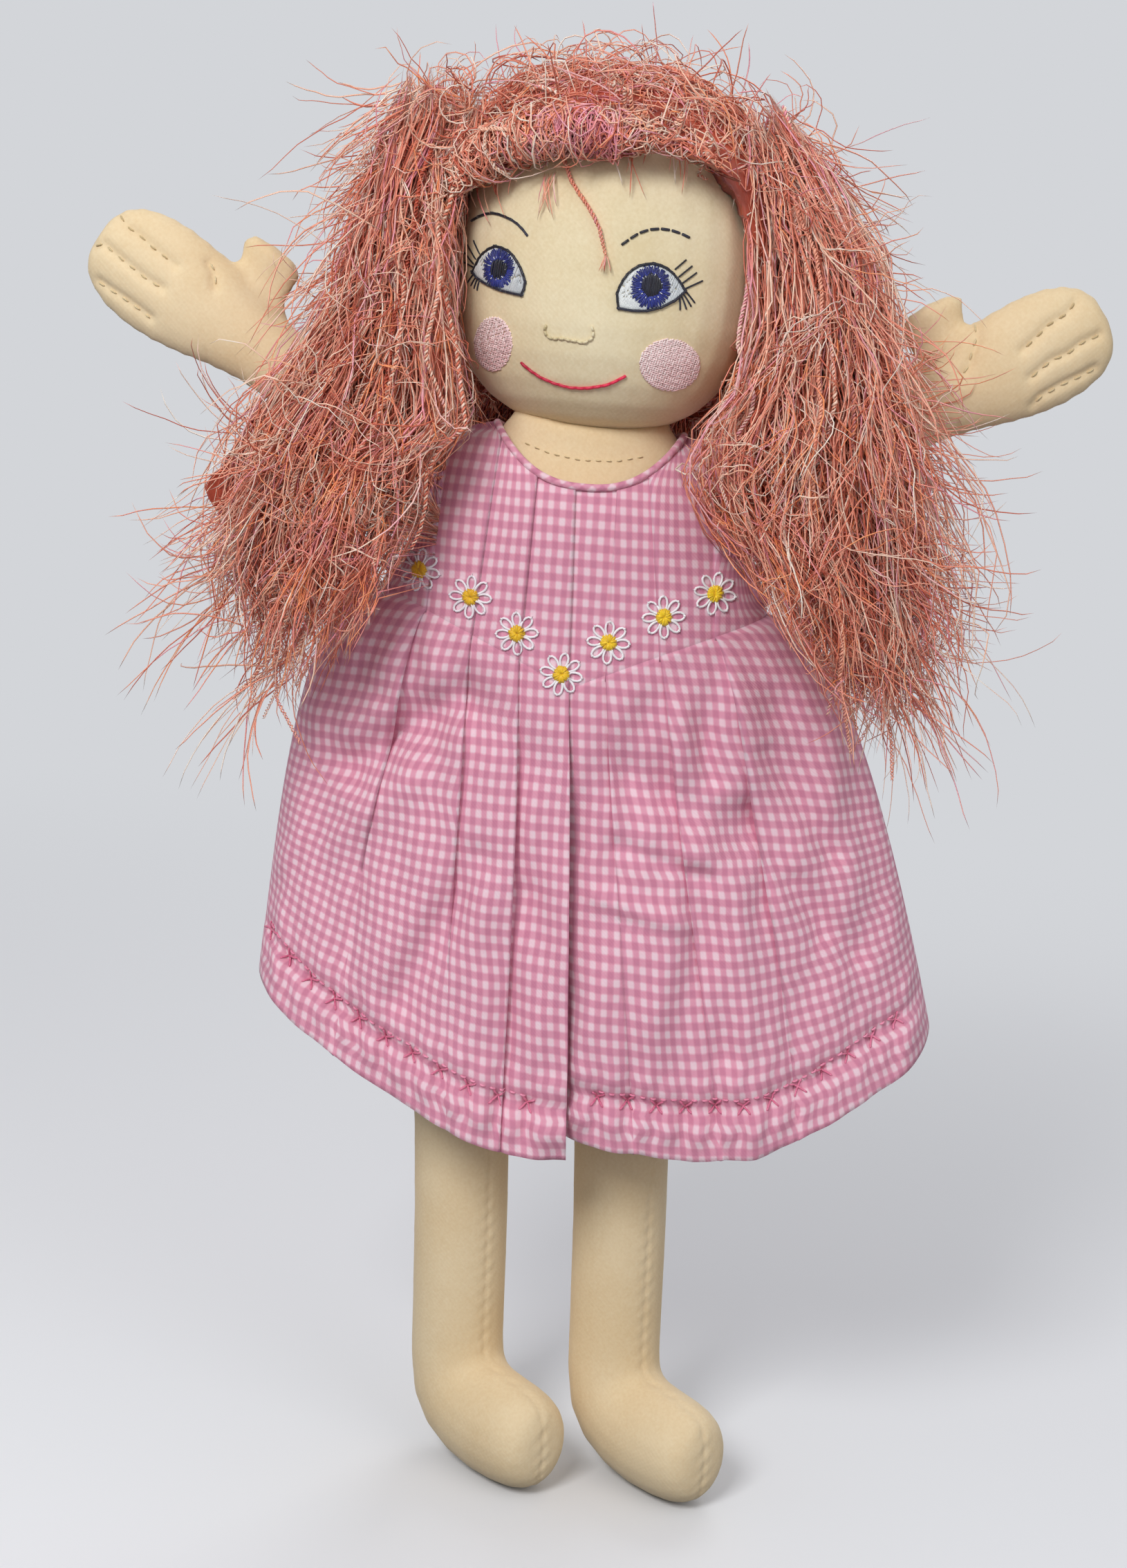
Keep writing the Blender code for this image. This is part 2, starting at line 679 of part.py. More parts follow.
def skirt_place(u, v, front, share_from, share_to, top, pleats):
    """Point of a skirt panel, u across and v down from its top edge."""
    share = share_from + u * (share_to - share_from)
    across = math.sin(RIGHT_ANGLE * share)
    high = top(YOKE_HALF_WIDTH * across) - GAP
    low = hem_height(share, front)
    z = high - v * (high - low)
    seam = YOKE_SIDE_Z - v * (YOKE_SIDE_Z - HEM_SIDE_Z) if front else z
    x = dress_centre(seam) + dress_half_width(seam) * across
    x += (PLEAT_SHIFT_X - HEM_SHIFT_X) * v * (1 - abs(share)) if front else 0.0
    point = dress_point(x, z, across, front)
    wave = 0.5 + 0.5 * math.cos(4 * RIGHT_ANGLE * pleats * u)
    point.y *= 1 - wave * v * PLEAT_DEPTH / dress_depth(z, front)
    frill = max(0.0, 1 - (z - low) / FRILL_HEIGHT)
    point.y *= 1 + frill * FRILL_FLARE / dress_depth(z, front)
    return point


def make_skirt_front(name, share_from, share_to):
    def place(u, v):
        return skirt_place(u, v, True, share_from, share_to, yoke_edge, FRONT_PLEATS)
    return outward(cloth_sheet(name, 20, 7, place), -1)


def make_back(name, share_from, share_to):
    def top(offset):
        return dress_top(offset, BACK_NECKLINE_Z)

    def place(u, v):
        return skirt_place(u, v, False, share_from, share_to, top, BACK_PLEATS)
    return outward(cloth_sheet(name, 18, 9, place), 1)


def make_dress():
    pleat = GAP / HEM_HALF_WIDTH
    make_yoke()
    make_skirt_front("skirt_front_right", -1.0, -pleat)
    make_skirt_front("skirt_front_left", pleat, 1.0)
    make_back("dress_back_right", -1.0, -pleat)
    return make_back("dress_back_left", pleat, 1.0)


# Piping, daisies and buttons
def back_point(offset):
    """Cut edge of the back at a distance from its middle."""
    z = dress_top(offset, BACK_NECKLINE_Z)
    return dress_point(offset, z, offset / YOKE_HALF_WIDTH, False)


def front_point(offset):
    return yoke_point(offset, dress_top(offset, NECKLINE_Z))


def make_neck_piping():
    """One binding round the neckline, open at the back."""
    lift = Vector((0, 0, PIPING + GAP))
    opening = GAP + PIPING
    reach = NECKLINE_HALF_WIDTH
    points = [back_point(x) for x in row(opening, reach, 6)]
    points += [front_point(x) for x in row(reach, -reach, 13)]
    points += [back_point(x) for x in row(-reach, -opening, 6)]
    return thread_curve("neck_piping", [p + lift for p in points], PIPING, "piping")


def make_armhole_piping(name, side):
    """The binding round one armhole, from shoulder seam to shoulder seam."""
    lift = Vector((side * (PIPING + GAP), 0, PIPING / 2))
    places = row(STRAP_OUTER_X, YOKE_HALF_WIDTH, 9)
    points = [front_point(side * x) for x in places]
    points += [back_point(side * x) for x in reversed(places)]
    return thread_curve(name, [p + lift for p in points], PIPING, "piping")


def unit_disc(segments, rings):
    """Flat disc of radius 1 with inner rings and a middle point."""
    bm = bmesh.new()
    bmesh.ops.create_circle(bm, cap_ends=True, segments=segments, radius=1.0)
    for ring in range(rings, 0, -1):
        width = 1 / (rings + 1)
        faces = [f for f in bm.faces if len(f.verts) == segments]
        bmesh.ops.inset_individual(bm, faces=faces, thickness=width)
    bmesh.ops.poke(bm, faces=[f for f in bm.faces if len(f.verts) == segments])
    return bm


def thicken(piece, thickness, way):
    outward(piece, way)
    shell = piece.modifiers.new("thread", "SOLIDIFY")
    shell.thickness = thickness
    shell.offset = 1.0
    return piece


def make_daisy(number, share):
    """Looped petals round a middle, stitched flat on the yoke."""
    offset = share * YOKE_HALF_WIDTH
    height = yoke_edge(offset) + DAISY_RISE + DAISY_SIZE / 2
    bm = unit_disc(3 * DAISY_PETALS, 0)
    for vertex in bm.verts:
        x, y, _ = vertex.co
        petal = math.cos(DAISY_PETALS * math.atan2(y, x))
        size = DAISY_SIZE / 2 * (1 - DAISY_PETAL_SHARE * (0.5 - 0.5 * petal))
        vertex.co = yoke_point(offset + x * size, height + y * size) - Vector((0, GAP, 0))
    return thicken(add_piece("daisy_" + str(number), bm, "white_thread"), DAISY_THICKNESS, -1)


def make_button(name, drop, back):
    """A small flat button on the left edge of the back opening."""
    x = BUTTON_SIZE / 2 + CLOTH
    z = BACK_NECKLINE_Z - drop
    seats = []
    for angle in range(0, 360, 45):
        across = BUTTON_SIZE / 2 * math.cos(math.radians(angle))
        up = BUTTON_SIZE / 2 * math.sin(math.radians(angle))
        start = (x + across, 2 * HEM_BACK_DEPTH, z + up)
        seats.append(surface_point(back, start, (0, -1, 0)).y)
    bm = bmesh.new()
    bmesh.ops.create_cone(bm, cap_ends=True, segments=20, radius1=BUTTON_SIZE / 2,
                          radius2=BUTTON_SIZE / 2, depth=BUTTON_THICKNESS)
    button = add_piece(name, bm, "button")
    button.rotation_euler = (RIGHT_ANGLE, 0, 0)
    button.location = (x, max(seats) + GAP + BUTTON_THICKNESS / 2, z)
    rim = button.modifiers.new("rim", "BEVEL")
    rim.width = BUTTON_RIM
    rim.segments = 1
    rim.limit_method = "ANGLE"
    return button


# Stitched face
def face_patch(name, across, up, width, height, layer, kind, segments, rings):
    """A satin-stitched patch that follows the face. Layers lie on each other."""
    lift = GAP + layer * (STITCH_THICKNESS + GAP)
    bm = unit_disc(segments, rings)
    for vertex in bm.verts:
        vertex.co = face_point(across + vertex.co.x * width / 2, up + vertex.co.y * height / 2, lift)
    return thicken(add_piece(name, bm, kind), STITCH_THICKNESS, -1)


def face_thread(name, places, radius, kind):
    lift = GAP + radius
    points = [face_point(across, up, lift) for across, up in places]
    return thread_curve(name, points, radius, kind)


def make_eye(word, side):
    across = side * EYE_SPACING / 2
    up = -EYE_DROP
    face_patch("eye_white_" + word, across, up, EYE_WIDTH, EYE_HEIGHT, 0, "white_thread", 24, 1)
    face_patch("iris_" + word, across, up, IRIS_WIDTH, IRIS_HEIGHT, 1, "blue_thread", 20, 0)
    face_patch("pupil_" + word, across, up, PUPIL_SIZE, PUPIL_SIZE, 2, "black_thread", 14, 0)
    brow = []
    for share in row(-1, 1, 7):
        rise = BROW_RISE - BROW_ARCH * share * share
        brow.append((across + share * BROW_WIDTH / 2, rise))
    face_thread("brow_" + word, brow, BROW_THREAD, "black_thread")
    cheek = side * CHEEK_SPACING / 2
    face_patch("cheek_" + word, cheek, -CHEEK_DROP, CHEEK_SIZE, CHEEK_SIZE, 0, "pink_thread", 22, 1)


def make_face():
    make_eye("left", 1)
    make_eye("right", -1)
    nose = []
    for share in row(-1, 1, 9):
        dip = NOSE_HEIGHT * math.sqrt(1 - share ** NOSE_POWER_SHARE)
        nose.append((share * NOSE_WIDTH / 2, -NOSE_DROP + NOSE_HEIGHT / 2 - dip))
    face_thread("nose_stitch", nose, NOSE_THREAD, "cream_thread")
    mouth = []
    for share in row(-1, 1, 11):
        mouth.append((share * MOUTH_WIDTH / 2, -MOUTH_DROP - MOUTH_SAG * (1 - share * share)))
    face_thread("mouth_stitch", mouth, MOUTH_THREAD, "red_thread")


# Hair
def make_hair_cap(head):
    """Hair over the crown and the back of the head, cut off along the hairline."""
    bm = bmesh.new()
    bmesh.ops.create_uvsphere(bm, u_segments=24, v_segments=14, radius=1.0)
    head_form(bm, HAIR_THICKNESS)
    cap = add_piece("hair_cap", bm, "hair")
    cap.matrix_world = head_frame()
    cut(cap, cutter_from(head, GAP))
    line = Vector((0, NAPE_BACK + HAIRLINE_FRONT, -NAPE_DROP - HAIRLINE_RISE))
    reach = HEAD_HEIGHT + 2 * HAIR_THICKNESS
    front = box_cutter((-reach, -reach, -reach), (reach, 0, reach))
    lean = math.atan2(line.y, -line.z)
    hairline = Matrix.Translation((0, -HAIRLINE_FRONT, HAIRLINE_RISE)) @ Matrix.Rotation(lean, 4, "X")
    front.matrix_world = head_frame() @ hairline
    cut(cap, front)
    nape = box_cutter((-reach, -reach, -reach), (reach, reach, -NAPE_CUT))
    nape.matrix_world = head_frame()
    cut(cap, nape)
    return cap


def make_fringe(head):
    """The tangle that hangs over the forehead, from temple to temple."""
    points = []
    for share in row(-1, 1, 15):
        angle = FRINGE_TURN * share
        across = FRINGE_REACH_SHARE * HEAD_WIDTH / 2 * math.sin(angle)
        up = FRINGE_RISE - FRINGE_DROP * (1 - math.cos(angle))
        points.append(face_point(across, up, FRINGE_RADIUS + GAP))
    fringe = as_mesh(thread_curve("hair_fringe", points, FRINGE_RADIUS, "hair", 3))
    return cut(fringe, cutter_from(head, GAP))


def make_bunch(name, side, span, bottom, seats):
    """Loose hair in front of one shoulder, from the temple to its tips."""
    rings = []
    for down, middle, half_width, forward, thickness in BUNCH_CAGE_SHARES:
        z = BUNCH_TOP_Z - down * (BUNCH_TOP_Z - bottom)
        x = side * (HEAD_WIDTH / 2 - BUNCH_TUCK + middle * span)
        y = -BUNCH_BACK_Y - forward * BUNCH_DEPTH
        rings.append(ring_place((x, y, z), 0, 0, CAGE_SHARE * half_width * span,
                                CAGE_SHARE * thickness * BUNCH_DEPTH / 2))
    bunch = soften(add_piece(name, limb_cage(rings, CAGE_SIDES), "hair"), 1)
    for seat in seats:
        cut(bunch, seat)
    return bunch


def make_back_hair(seats):
    rings = []
    back = TORSO_DEPTH / 2 + BACK_HAIR_CLEARANCE
    for down, width, depth in BACK_HAIR_CAGE_SHARES:
        z = BACK_HAIR_TOP_Z - down * (BACK_HAIR_TOP_Z - BACK_HAIR_BOTTOM_Z)
        centre = (0, back, z)
        rings.append(ring_place(centre, 0, 0, CAGE_SHARE * width * BACK_HAIR_WIDTH / 2,
                                CAGE_SHARE * depth * BACK_HAIR_DEPTH / 2))
    hair = soften(add_piece("hair_back", limb_cage(rings, CAGE_SIDES), "hair"), 1)
    for seat in seats:
        cut(hair, seat)
    return hair


# Run
clear_scene()
DOLL = new_collection("rag doll")
CUTTERS = new_collection("cutters")

torso = make_torso()
HIP_HEIGHT = hip_axis(torso)
head = make_head()
arm_left = make_arm("arm_left", 1, ARM_RAISE_LEFT, torso)
arm_right = make_arm("arm_right", -1, ARM_RAISE_RIGHT, torso)
seat_neck(torso, head)
make_leg("leg_left", 1, LEG_LEAN_LEFT, FOOT_TURN_LEFT)
make_leg("leg_right", -1, LEG_LEAN_RIGHT, FOOT_TURN_RIGHT)
back_left = make_dress()
make_neck_piping()
make_armhole_piping("armhole_piping_left", 1)
make_armhole_piping("armhole_piping_right", -1)
for number, share in enumerate(DAISY_PLACE_SHARES, 1):
    make_daisy(number, share)
make_button("button_upper", BUTTON_DROP, back_left)
make_button("button_lower", BUTTON_DROP + BUTTON_PITCH, back_left)
make_face()
cap = make_hair_cap(head)
fringe = make_fringe(head)
cut(cap, cutter_from(fringe, GAP))
seats = [cutter_from(head, GAP), cutter_from(cap, GAP), cutter_from(fringe, GAP)]
make_bunch("hair_bunch_right", -1, BUNCH_SPAN_RIGHT, BUNCH_BOTTOM_RIGHT_Z, seats)
make_bunch("hair_bunch_left", 1, BUNCH_SPAN_LEFT, BUNCH_BOTTOM_LEFT_Z, seats)
make_back_hair([cutter_from(cap, GAP)])
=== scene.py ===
import math

import bmesh
import bpy
import numpy as np
from mathutils import Matrix, Vector, noise
from mathutils.bvhtree import BVHTree


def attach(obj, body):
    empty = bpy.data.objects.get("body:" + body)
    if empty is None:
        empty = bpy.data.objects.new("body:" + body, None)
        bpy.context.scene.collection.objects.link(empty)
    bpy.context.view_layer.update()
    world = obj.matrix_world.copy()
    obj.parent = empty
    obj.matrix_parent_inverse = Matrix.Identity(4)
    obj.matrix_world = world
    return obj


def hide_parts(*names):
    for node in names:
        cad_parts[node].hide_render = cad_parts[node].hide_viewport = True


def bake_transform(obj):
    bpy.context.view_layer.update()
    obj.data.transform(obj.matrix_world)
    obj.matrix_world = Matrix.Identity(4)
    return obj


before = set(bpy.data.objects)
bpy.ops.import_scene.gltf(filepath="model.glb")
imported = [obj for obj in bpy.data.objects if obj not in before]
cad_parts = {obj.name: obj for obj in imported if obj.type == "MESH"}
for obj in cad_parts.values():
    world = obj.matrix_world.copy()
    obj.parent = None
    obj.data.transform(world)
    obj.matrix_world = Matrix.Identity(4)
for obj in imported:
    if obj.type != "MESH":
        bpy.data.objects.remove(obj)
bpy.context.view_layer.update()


# The body is two flat shapes of unbleached cotton muslin, sewn along their edges, turned and
# stuffed hard with polyester fibre. The torso's top is the neck, closed by the head sewn on it.
WELD = 0.000001
SKIN_ROUNDS = 12
TORSO_MESH = 0.0016
SEAM_DEPTH = 0.00045
SEAM_HALF_WIDTH = 0.0009
PUCKER_DEPTH = 0.00018
PUCKER_PITCH = 0.0052
PUCKER_REACH = 0.0035
NECK_TUCK = 0.0030           # the neck's top is tucked up into the head that is sewn over it
NECK_TUCK_Z = 0.3440
MUSLIN_PITCH = 0.0008        # a real muslin has about 2.4 threads a mm, too fine to show
MUSLIN_RELIEF = 0.00006
MUSLIN_CREAM = "#efd9b2"
MUSLIN_SHADE = "#e6cb9f"
FIBRE_NOISE = 900.0
CLOUD_NOISE = 28.0


def joined_copy(node):
    """A bmesh of a CAD node with its loose triangles joined."""
    bm = bmesh.new()
    bm.from_mesh(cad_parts[node].data)
    bmesh.ops.remove_doubles(bm, verts=bm.verts, dist=WELD)
    bmesh.ops.recalc_face_normals(bm, faces=bm.faces)
    return bm


def new_piece(name, bm):
    """An object of its own from a bmesh, which is freed."""
    mesh = bpy.data.meshes.new(name)
    bm.to_mesh(mesh)
    bm.free()
    piece = bpy.data.objects.new(name, mesh)
    bpy.context.scene.collection.objects.link(piece)
    return piece


def set_modifiers(piece):
    """Make the piece's modifiers part of its mesh."""
    bpy.context.view_layer.update()
    graph = bpy.context.evaluated_depsgraph_get()
    mesh = bpy.data.meshes.new_from_object(piece.evaluated_get(graph))
    piece.modifiers.clear()
    piece.data = mesh
    mesh.shade_smooth()
    return piece


def stuffed(name, node, size, rounds=SKIN_ROUNDS):
    """The CAD solid as a soft skin with faces of one size, smoothed in a number of rounds."""
    piece = new_piece(name, joined_copy(node))
    skin = piece.modifiers.new("skin", "REMESH")
    skin.mode = "VOXEL"
    skin.voxel_size = size
    piece.modifiers.new("ease", "SMOOTH").iterations = rounds
    return set_modifiers(piece)


def skin_points(piece):
    """The skin's points and the ways they face."""
    mesh = piece.data
    spots = np.empty(3 * len(mesh.vertices))
    facing = np.empty(3 * len(mesh.vertices))
    mesh.vertices.foreach_get("co", spots)
    mesh.vertex_normals.foreach_get("vector", facing)
    return spots.reshape(-1, 3), facing.reshape(-1, 3)


def move_points(piece, spots):
    """Put a skin's points in new places."""
    piece.data.vertices.foreach_set("co", spots.ravel())
    piece.data.update()


def press(piece, depth):
    """Press the skin in by a depth for each of its points."""
    spots, facing = skin_points(piece)
    move_points(piece, spots - facing * depth[:, None])


def seam(off, along, side_on):
    """Depth of a sewn edge, pulled in and puckered, from the distance off its line."""
    groove = SEAM_DEPTH * np.exp(-(off / SEAM_HALF_WIDTH) ** 2)
    pucker = PUCKER_DEPTH * np.sin(2 * math.pi * along / PUCKER_PITCH)
    return (groove + pucker * np.exp(-(off / PUCKER_REACH) ** 2)) * side_on


def linear(hex_code):
    """An sRGB hex colour as the linear values that Blender works in."""
    parts = [int(hex_code[i:i + 2], 16) / 255 for i in (1, 3, 5)]
    return [c / 12.92 if c <= 0.04045 else ((c + 0.055) / 1.055) ** 2.4 for c in parts] + [1.0]


def add_node(tree, kind, settings=None, links=None):
    """A shader node: lower-case settings are its own, the others are its sockets'."""
    node = tree.nodes.new(kind)
    for key, value in (settings or {}).items():
        if isinstance(key, str) and key[0].islower():
            setattr(node, key, value)
        else:
            node.inputs[key].default_value = value
    for key, source in (links or {}).items():
        tree.links.new(source, node.inputs[key])
    return node


def new_material(name, roughness, sheen=0.0):
    """A material with its shader, both still bare."""
    material = bpy.data.materials.new(name)
    material.use_nodes = True
    shader = material.node_tree.nodes["Principled BSDF"]
    shader.inputs["Roughness"].default_value = roughness
    shader.inputs["Sheen Weight"].default_value = sheen
    shader.inputs["Sheen Roughness"].default_value = 0.5
    return material, material.node_tree, shader


def colour_ramp(tree, value, *stops):
    """Colours for a value from 0 to 1. Each stop is a place and a hex colour."""
    ramp = add_node(tree, "ShaderNodeValToRGB", None, {0: value})
    elements = ramp.color_ramp.elements
    for element, (place, code) in zip((elements[0], elements[1]), (stops[0], stops[-1])):
        element.position = place
        element.color = linear(code)
    for place, code in stops[1:-1]:
        elements.new(place).color = linear(code)
    return ramp.outputs[0]


def surface(tree, shader, colour, height, strength, relief):
    """Give a shader its colour and a fine relief from a height between 0 and 1."""
    bump = add_node(tree, "ShaderNodeBump", {"Strength": strength, "Distance": relief}, {"Height": height})
    tree.links.new(colour, shader.inputs["Base Color"])
    tree.links.new(bump.outputs[0], shader.inputs["Normal"])


def plain_weave(tree, across, up, pitch):
    """Height of threads that pass over and under each other, from 0 to 1."""
    waves = []
    for way in (across, up):
        turns = add_node(tree, "ShaderNodeMath", {"operation": "MULTIPLY", 1: math.pi / pitch}, {0: way})
        waves.append(add_node(tree, "ShaderNodeMath", {"operation": "SINE"}, {0: turns.outputs[0]}))
    cross = add_node(tree, "ShaderNodeMath", {"operation": "MULTIPLY"},
                     {0: waves[0].outputs[0], 1: waves[1].outputs[0]})
    return add_node(tree, "ShaderNodeMath", {"operation": "MULTIPLY_ADD", 1: 0.5, 2: 0.5},
                    {0: cross.outputs[0]}).outputs[0]


def muslin(name, light, shade):
    """Unbleached cotton muslin: matt, cream, with uneven threads and faint clouds of colour."""
    material, tree, shader = new_material(name, 0.92, 0.15)
    place = add_node(tree, "ShaderNodeTexCoord").outputs["Object"]
    axes = add_node(tree, "ShaderNodeSeparateXYZ", None, {0: place}).outputs
    normal = add_node(tree, "ShaderNodeNewGeometry").outputs["Normal"]
    ways = add_node(tree, "ShaderNodeSeparateXYZ", None, {0: normal}).outputs
    sideways = add_node(tree, "ShaderNodeMath", {"operation": "ABSOLUTE"}, {0: ways[0]}).outputs[0]
    on_side = add_node(tree, "ShaderNodeMath", {"operation": "GREATER_THAN", 1: 0.75}, {0: sideways})
    across = add_node(tree, "ShaderNodeMix", {"data_type": "FLOAT"},
                      {0: on_side.outputs[0], 2: axes[0], 3: axes[1]}).outputs[0]
    weave = plain_weave(tree, across, axes[2], MUSLIN_PITCH)
    cloud = add_node(tree, "ShaderNodeTexNoise", {"Scale": CLOUD_NOISE, "Detail": 4.0}, {0: place})
    slub = add_node(tree, "ShaderNodeTexNoise", {"Scale": FIBRE_NOISE, "Detail": 2.0}, {0: place})
    tone = add_node(tree, "ShaderNodeMix", {"data_type": "FLOAT", 0: 0.35},
                    {2: cloud.outputs["Fac"], 3: slub.outputs["Fac"]})
    colour = colour_ramp(tree, tone.outputs[0], (0.36, shade), (0.62, light))
    height = add_node(tree, "ShaderNodeMath", {"operation": "MULTIPLY"},
                      {0: weave, 1: slub.outputs["Fac"]})
    surface(tree, shader, colour, height.outputs[0], 0.8, MUSLIN_RELIEF)
    return material


def finish(piece, material, slot, *nodes):
    """Dress a piece in its material and let it stand for its CAD nodes."""
    piece.data.materials.clear()
    piece.data.materials.append(material)
    if nodes:
        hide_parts(*nodes)
    return piece


body_muslin = muslin("unbleached cotton muslin", MUSLIN_CREAM, MUSLIN_SHADE)
torso = stuffed("torso_stuffed", "torso", TORSO_MESH)
spots, facing = skin_points(torso)
press(torso, seam(spots[:, 1], spots[:, 2], np.abs(facing[:, 0])))
spots, _ = skin_points(torso)
spots[:, 2] += NECK_TUCK * np.clip((spots[:, 2] - NECK_TUCK_Z) / 0.004, 0, 1)
move_points(torso, spots)
finish(torso, body_muslin, "muslin", "torso")
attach(torso, "torso")


# Each arm is one stuffed mitten shape. The fingers are drawn by lines of running stitch in a
# cream quilting thread that goes through both sides, so the hand is dented along each line.
ARM_MESH = 0.0010
STITCH_DENT = 0.0012
STITCH_DENT_WIDTH = 0.0015
HAND_PAD_SINK = 0.0005
HAND_PAD_WIDTH = 0.0045
STITCH_LENGTH = 0.0030
STITCH_SPACE = 0.0014
QUILT_THREAD = 0.00030
STITCH_RISE = 0.00035
THREAD_NOISE = 1400.0
THREAD_RELIEF = 0.00008
CREAM_THREAD = ("#e2d0a6", "#c3ac7e")
FINGER_LINES = {
    "arm_right": (
        ((-153.8, 404.6), (-150.6, 401.0), (-145.8, 398.2), (-142.4, 395.6), (-137.5, 392.4),
         (-134.4, 390.1)),
        ((-160.9, 394.3), (-157.7, 395.2), (-154.2, 392.6), (-148.7, 388.9), (-143.8, 385.7),
         (-138.3, 382.9)),
        ((-159.4, 383.4), (-154.9, 381.1), (-150.1, 378.6), (-145.3, 375.8), (-141.8, 373.4)),
        ((-124.2, 392.2), (-122.4, 389.8), (-121.4, 384.7))),
    "arm_left": (
        ((148.1, 403.3), (145.8, 399.5), (140.2, 395.5), (136.5, 390.9), (133.0, 387.0)),
        ((156.9, 393.9), (151.2, 390.7), (147.4, 387.1), (142.8, 384.9), (136.8, 378.9)),
        ((157.0, 383.4), (153.1, 380.9), (146.8, 377.4), (140.6, 372.9), (139.1, 370.1)),
        ((118.4, 394.2), (118.7, 389.4), (117.6, 385.7), (116.9, 380.8), (115.4, 378.3)))}


def millimetres(line):
    """Drawn points, given in mm, in metres."""
    return [(x / 1000, z / 1000) for x, z in line]


def off_line(spots, line):
    """How far each point is from a line drawn on the front."""
    nearest = np.full(len(spots), 1.0)
    flat = spots[:, (0, 2)]
    for start, end in zip(line, line[1:]):
        start, step = np.array(start), np.array(end) - np.array(start)
        share = np.clip((flat - start) @ step / (step @ step), 0, 1)
        nearest = np.minimum(nearest, np.linalg.norm(flat - start - share[:, None] * step, axis=1))
    return nearest


def stitch_dents(piece, lines):
    """Dent both sides of a stuffed hand along its lines of stitching."""
    spots, facing = skin_points(piece)
    depth = np.zeros(len(spots))
    for line in lines:
        off = off_line(spots, millimetres(line))
        depth += STITCH_DENT * np.exp(-(off / STITCH_DENT_WIDTH) ** 2)
        depth += HAND_PAD_SINK * np.exp(-(off / HAND_PAD_WIDTH) ** 2)
    press(piece, depth * np.abs(facing[:, 1]))


def skin_tree(piece):
    """A searchable copy of a finished skin."""
    mesh = piece.data
    return BVHTree.FromPolygons([v.co for v in mesh.vertices], [p.vertices for p in mesh.polygons])


def on_skin(tree, x, z, rise, way=-1):
    """The point of a skin behind a place seen from the front, or from the back with way +1."""
    place, normal, _, _ = tree.ray_cast(Vector((x, way, z)), Vector((0, -way, 0)))
    if place is None:
        place, normal, _, _ = tree.find_nearest(Vector((x, 0, z)))
    return place + normal * rise


def walk(line, step):
    """Points along a drawn line at even steps."""
    corners = np.array(line)
    lengths = np.concatenate([[0], np.cumsum(np.linalg.norm(np.diff(corners, axis=0), axis=1))])
    count = max(2, round(lengths[-1] / step) + 1)
    marks = np.linspace(0, lengths[-1], count)
    return np.stack([np.interp(marks, lengths, corners[:, i]) for i in range(corners.shape[1])], 1)


def running_stitch(line, length, space, lay, rise):
    """Threads that dip in and out of the cloth along a line. lay gives a point of the cloth."""
    steps = walk(line, length / 4)
    cycle = 4 + max(1, round(4 * space / length))
    threads = []
    for first in range(0, len(steps) - 3, cycle):
        part = steps[first:first + 5]
        heights = [-0.6, 0.7, 1.0, 0.7, -0.6][:len(part)]
        threads.append([lay(x, z, rise * h) for (x, z), h in zip(part, heights)])
    return threads


def thread_mesh(name, threads, radius, sides=5, tones=None):
    """One mesh of round threads with closed ends. A radius may be given for each point."""
    profile = bpy.data.curves.new("profile", "CURVE")
    profile.dimensions = "2D"
    ring = profile.splines.new("POLY")
    ring.points.add(sides - 1)
    ring.use_cyclic_u = True
    for i, spot in enumerate(ring.points):
        angle = 2 * math.pi * i / sides
        spot.co = (math.cos(angle), math.sin(angle), 0, 1)
    profile = bpy.data.objects.new("profile", profile)
    curve = bpy.data.curves.new(name, "CURVE")
    curve.dimensions = "3D"
    curve.bevel_mode = "OBJECT"
    curve.bevel_object = profile
    counts = []
    for points in threads:
        spline = curve.splines.new("POLY")
        spline.points.add(len(points) - 1)
        spots = np.ones((len(points), 4))
        spots[:, :3] = points
        spots[:, 2] -= np.arange(len(points)) * 0.00001     # no two points fall together
        spline.points.foreach_set("co", spots.ravel())
        counts.append(len(points))
    widths = [np.full(n, radius) for n in counts] if np.isscalar(radius) else radius
    for spline, width in zip(curve.splines, widths):
        width = np.array(width, float)
        width[[0, -1]] = 0.0
        spline.points.foreach_set("radius", width)
    holder = bpy.data.objects.new(name, curve)
    bpy.context.scene.collection.objects.link(holder)
    bpy.context.view_layer.update()
    mesh = bpy.data.meshes.new_from_object(holder.evaluated_get(bpy.context.evaluated_depsgraph_get()))
    bpy.data.objects.remove(holder)
    bpy.data.objects.remove(profile)
    tones = np.linspace(0, 1, len(threads)) if tones is None else tones
    tone = mesh.attributes.new("tone", "FLOAT", "POINT")
    tone.data.foreach_set("value", np.repeat(tones, np.array(counts) * sides).astype(np.float32))
    along = mesh.attributes.new("along", "FLOAT", "POINT")
    shares = np.concatenate([np.repeat(np.linspace(0, 1, n), sides) for n in counts])
    along.data.foreach_set("value", shares.astype(np.float32))
    bm = bmesh.new()
    bm.from_mesh(mesh)
    bmesh.ops.remove_doubles(bm, verts=bm.verts, dist=WELD)
    bmesh.ops.recalc_face_normals(bm, faces=bm.faces)
    piece = new_piece(name, bm)
    piece.data.shade_smooth()
    return piece


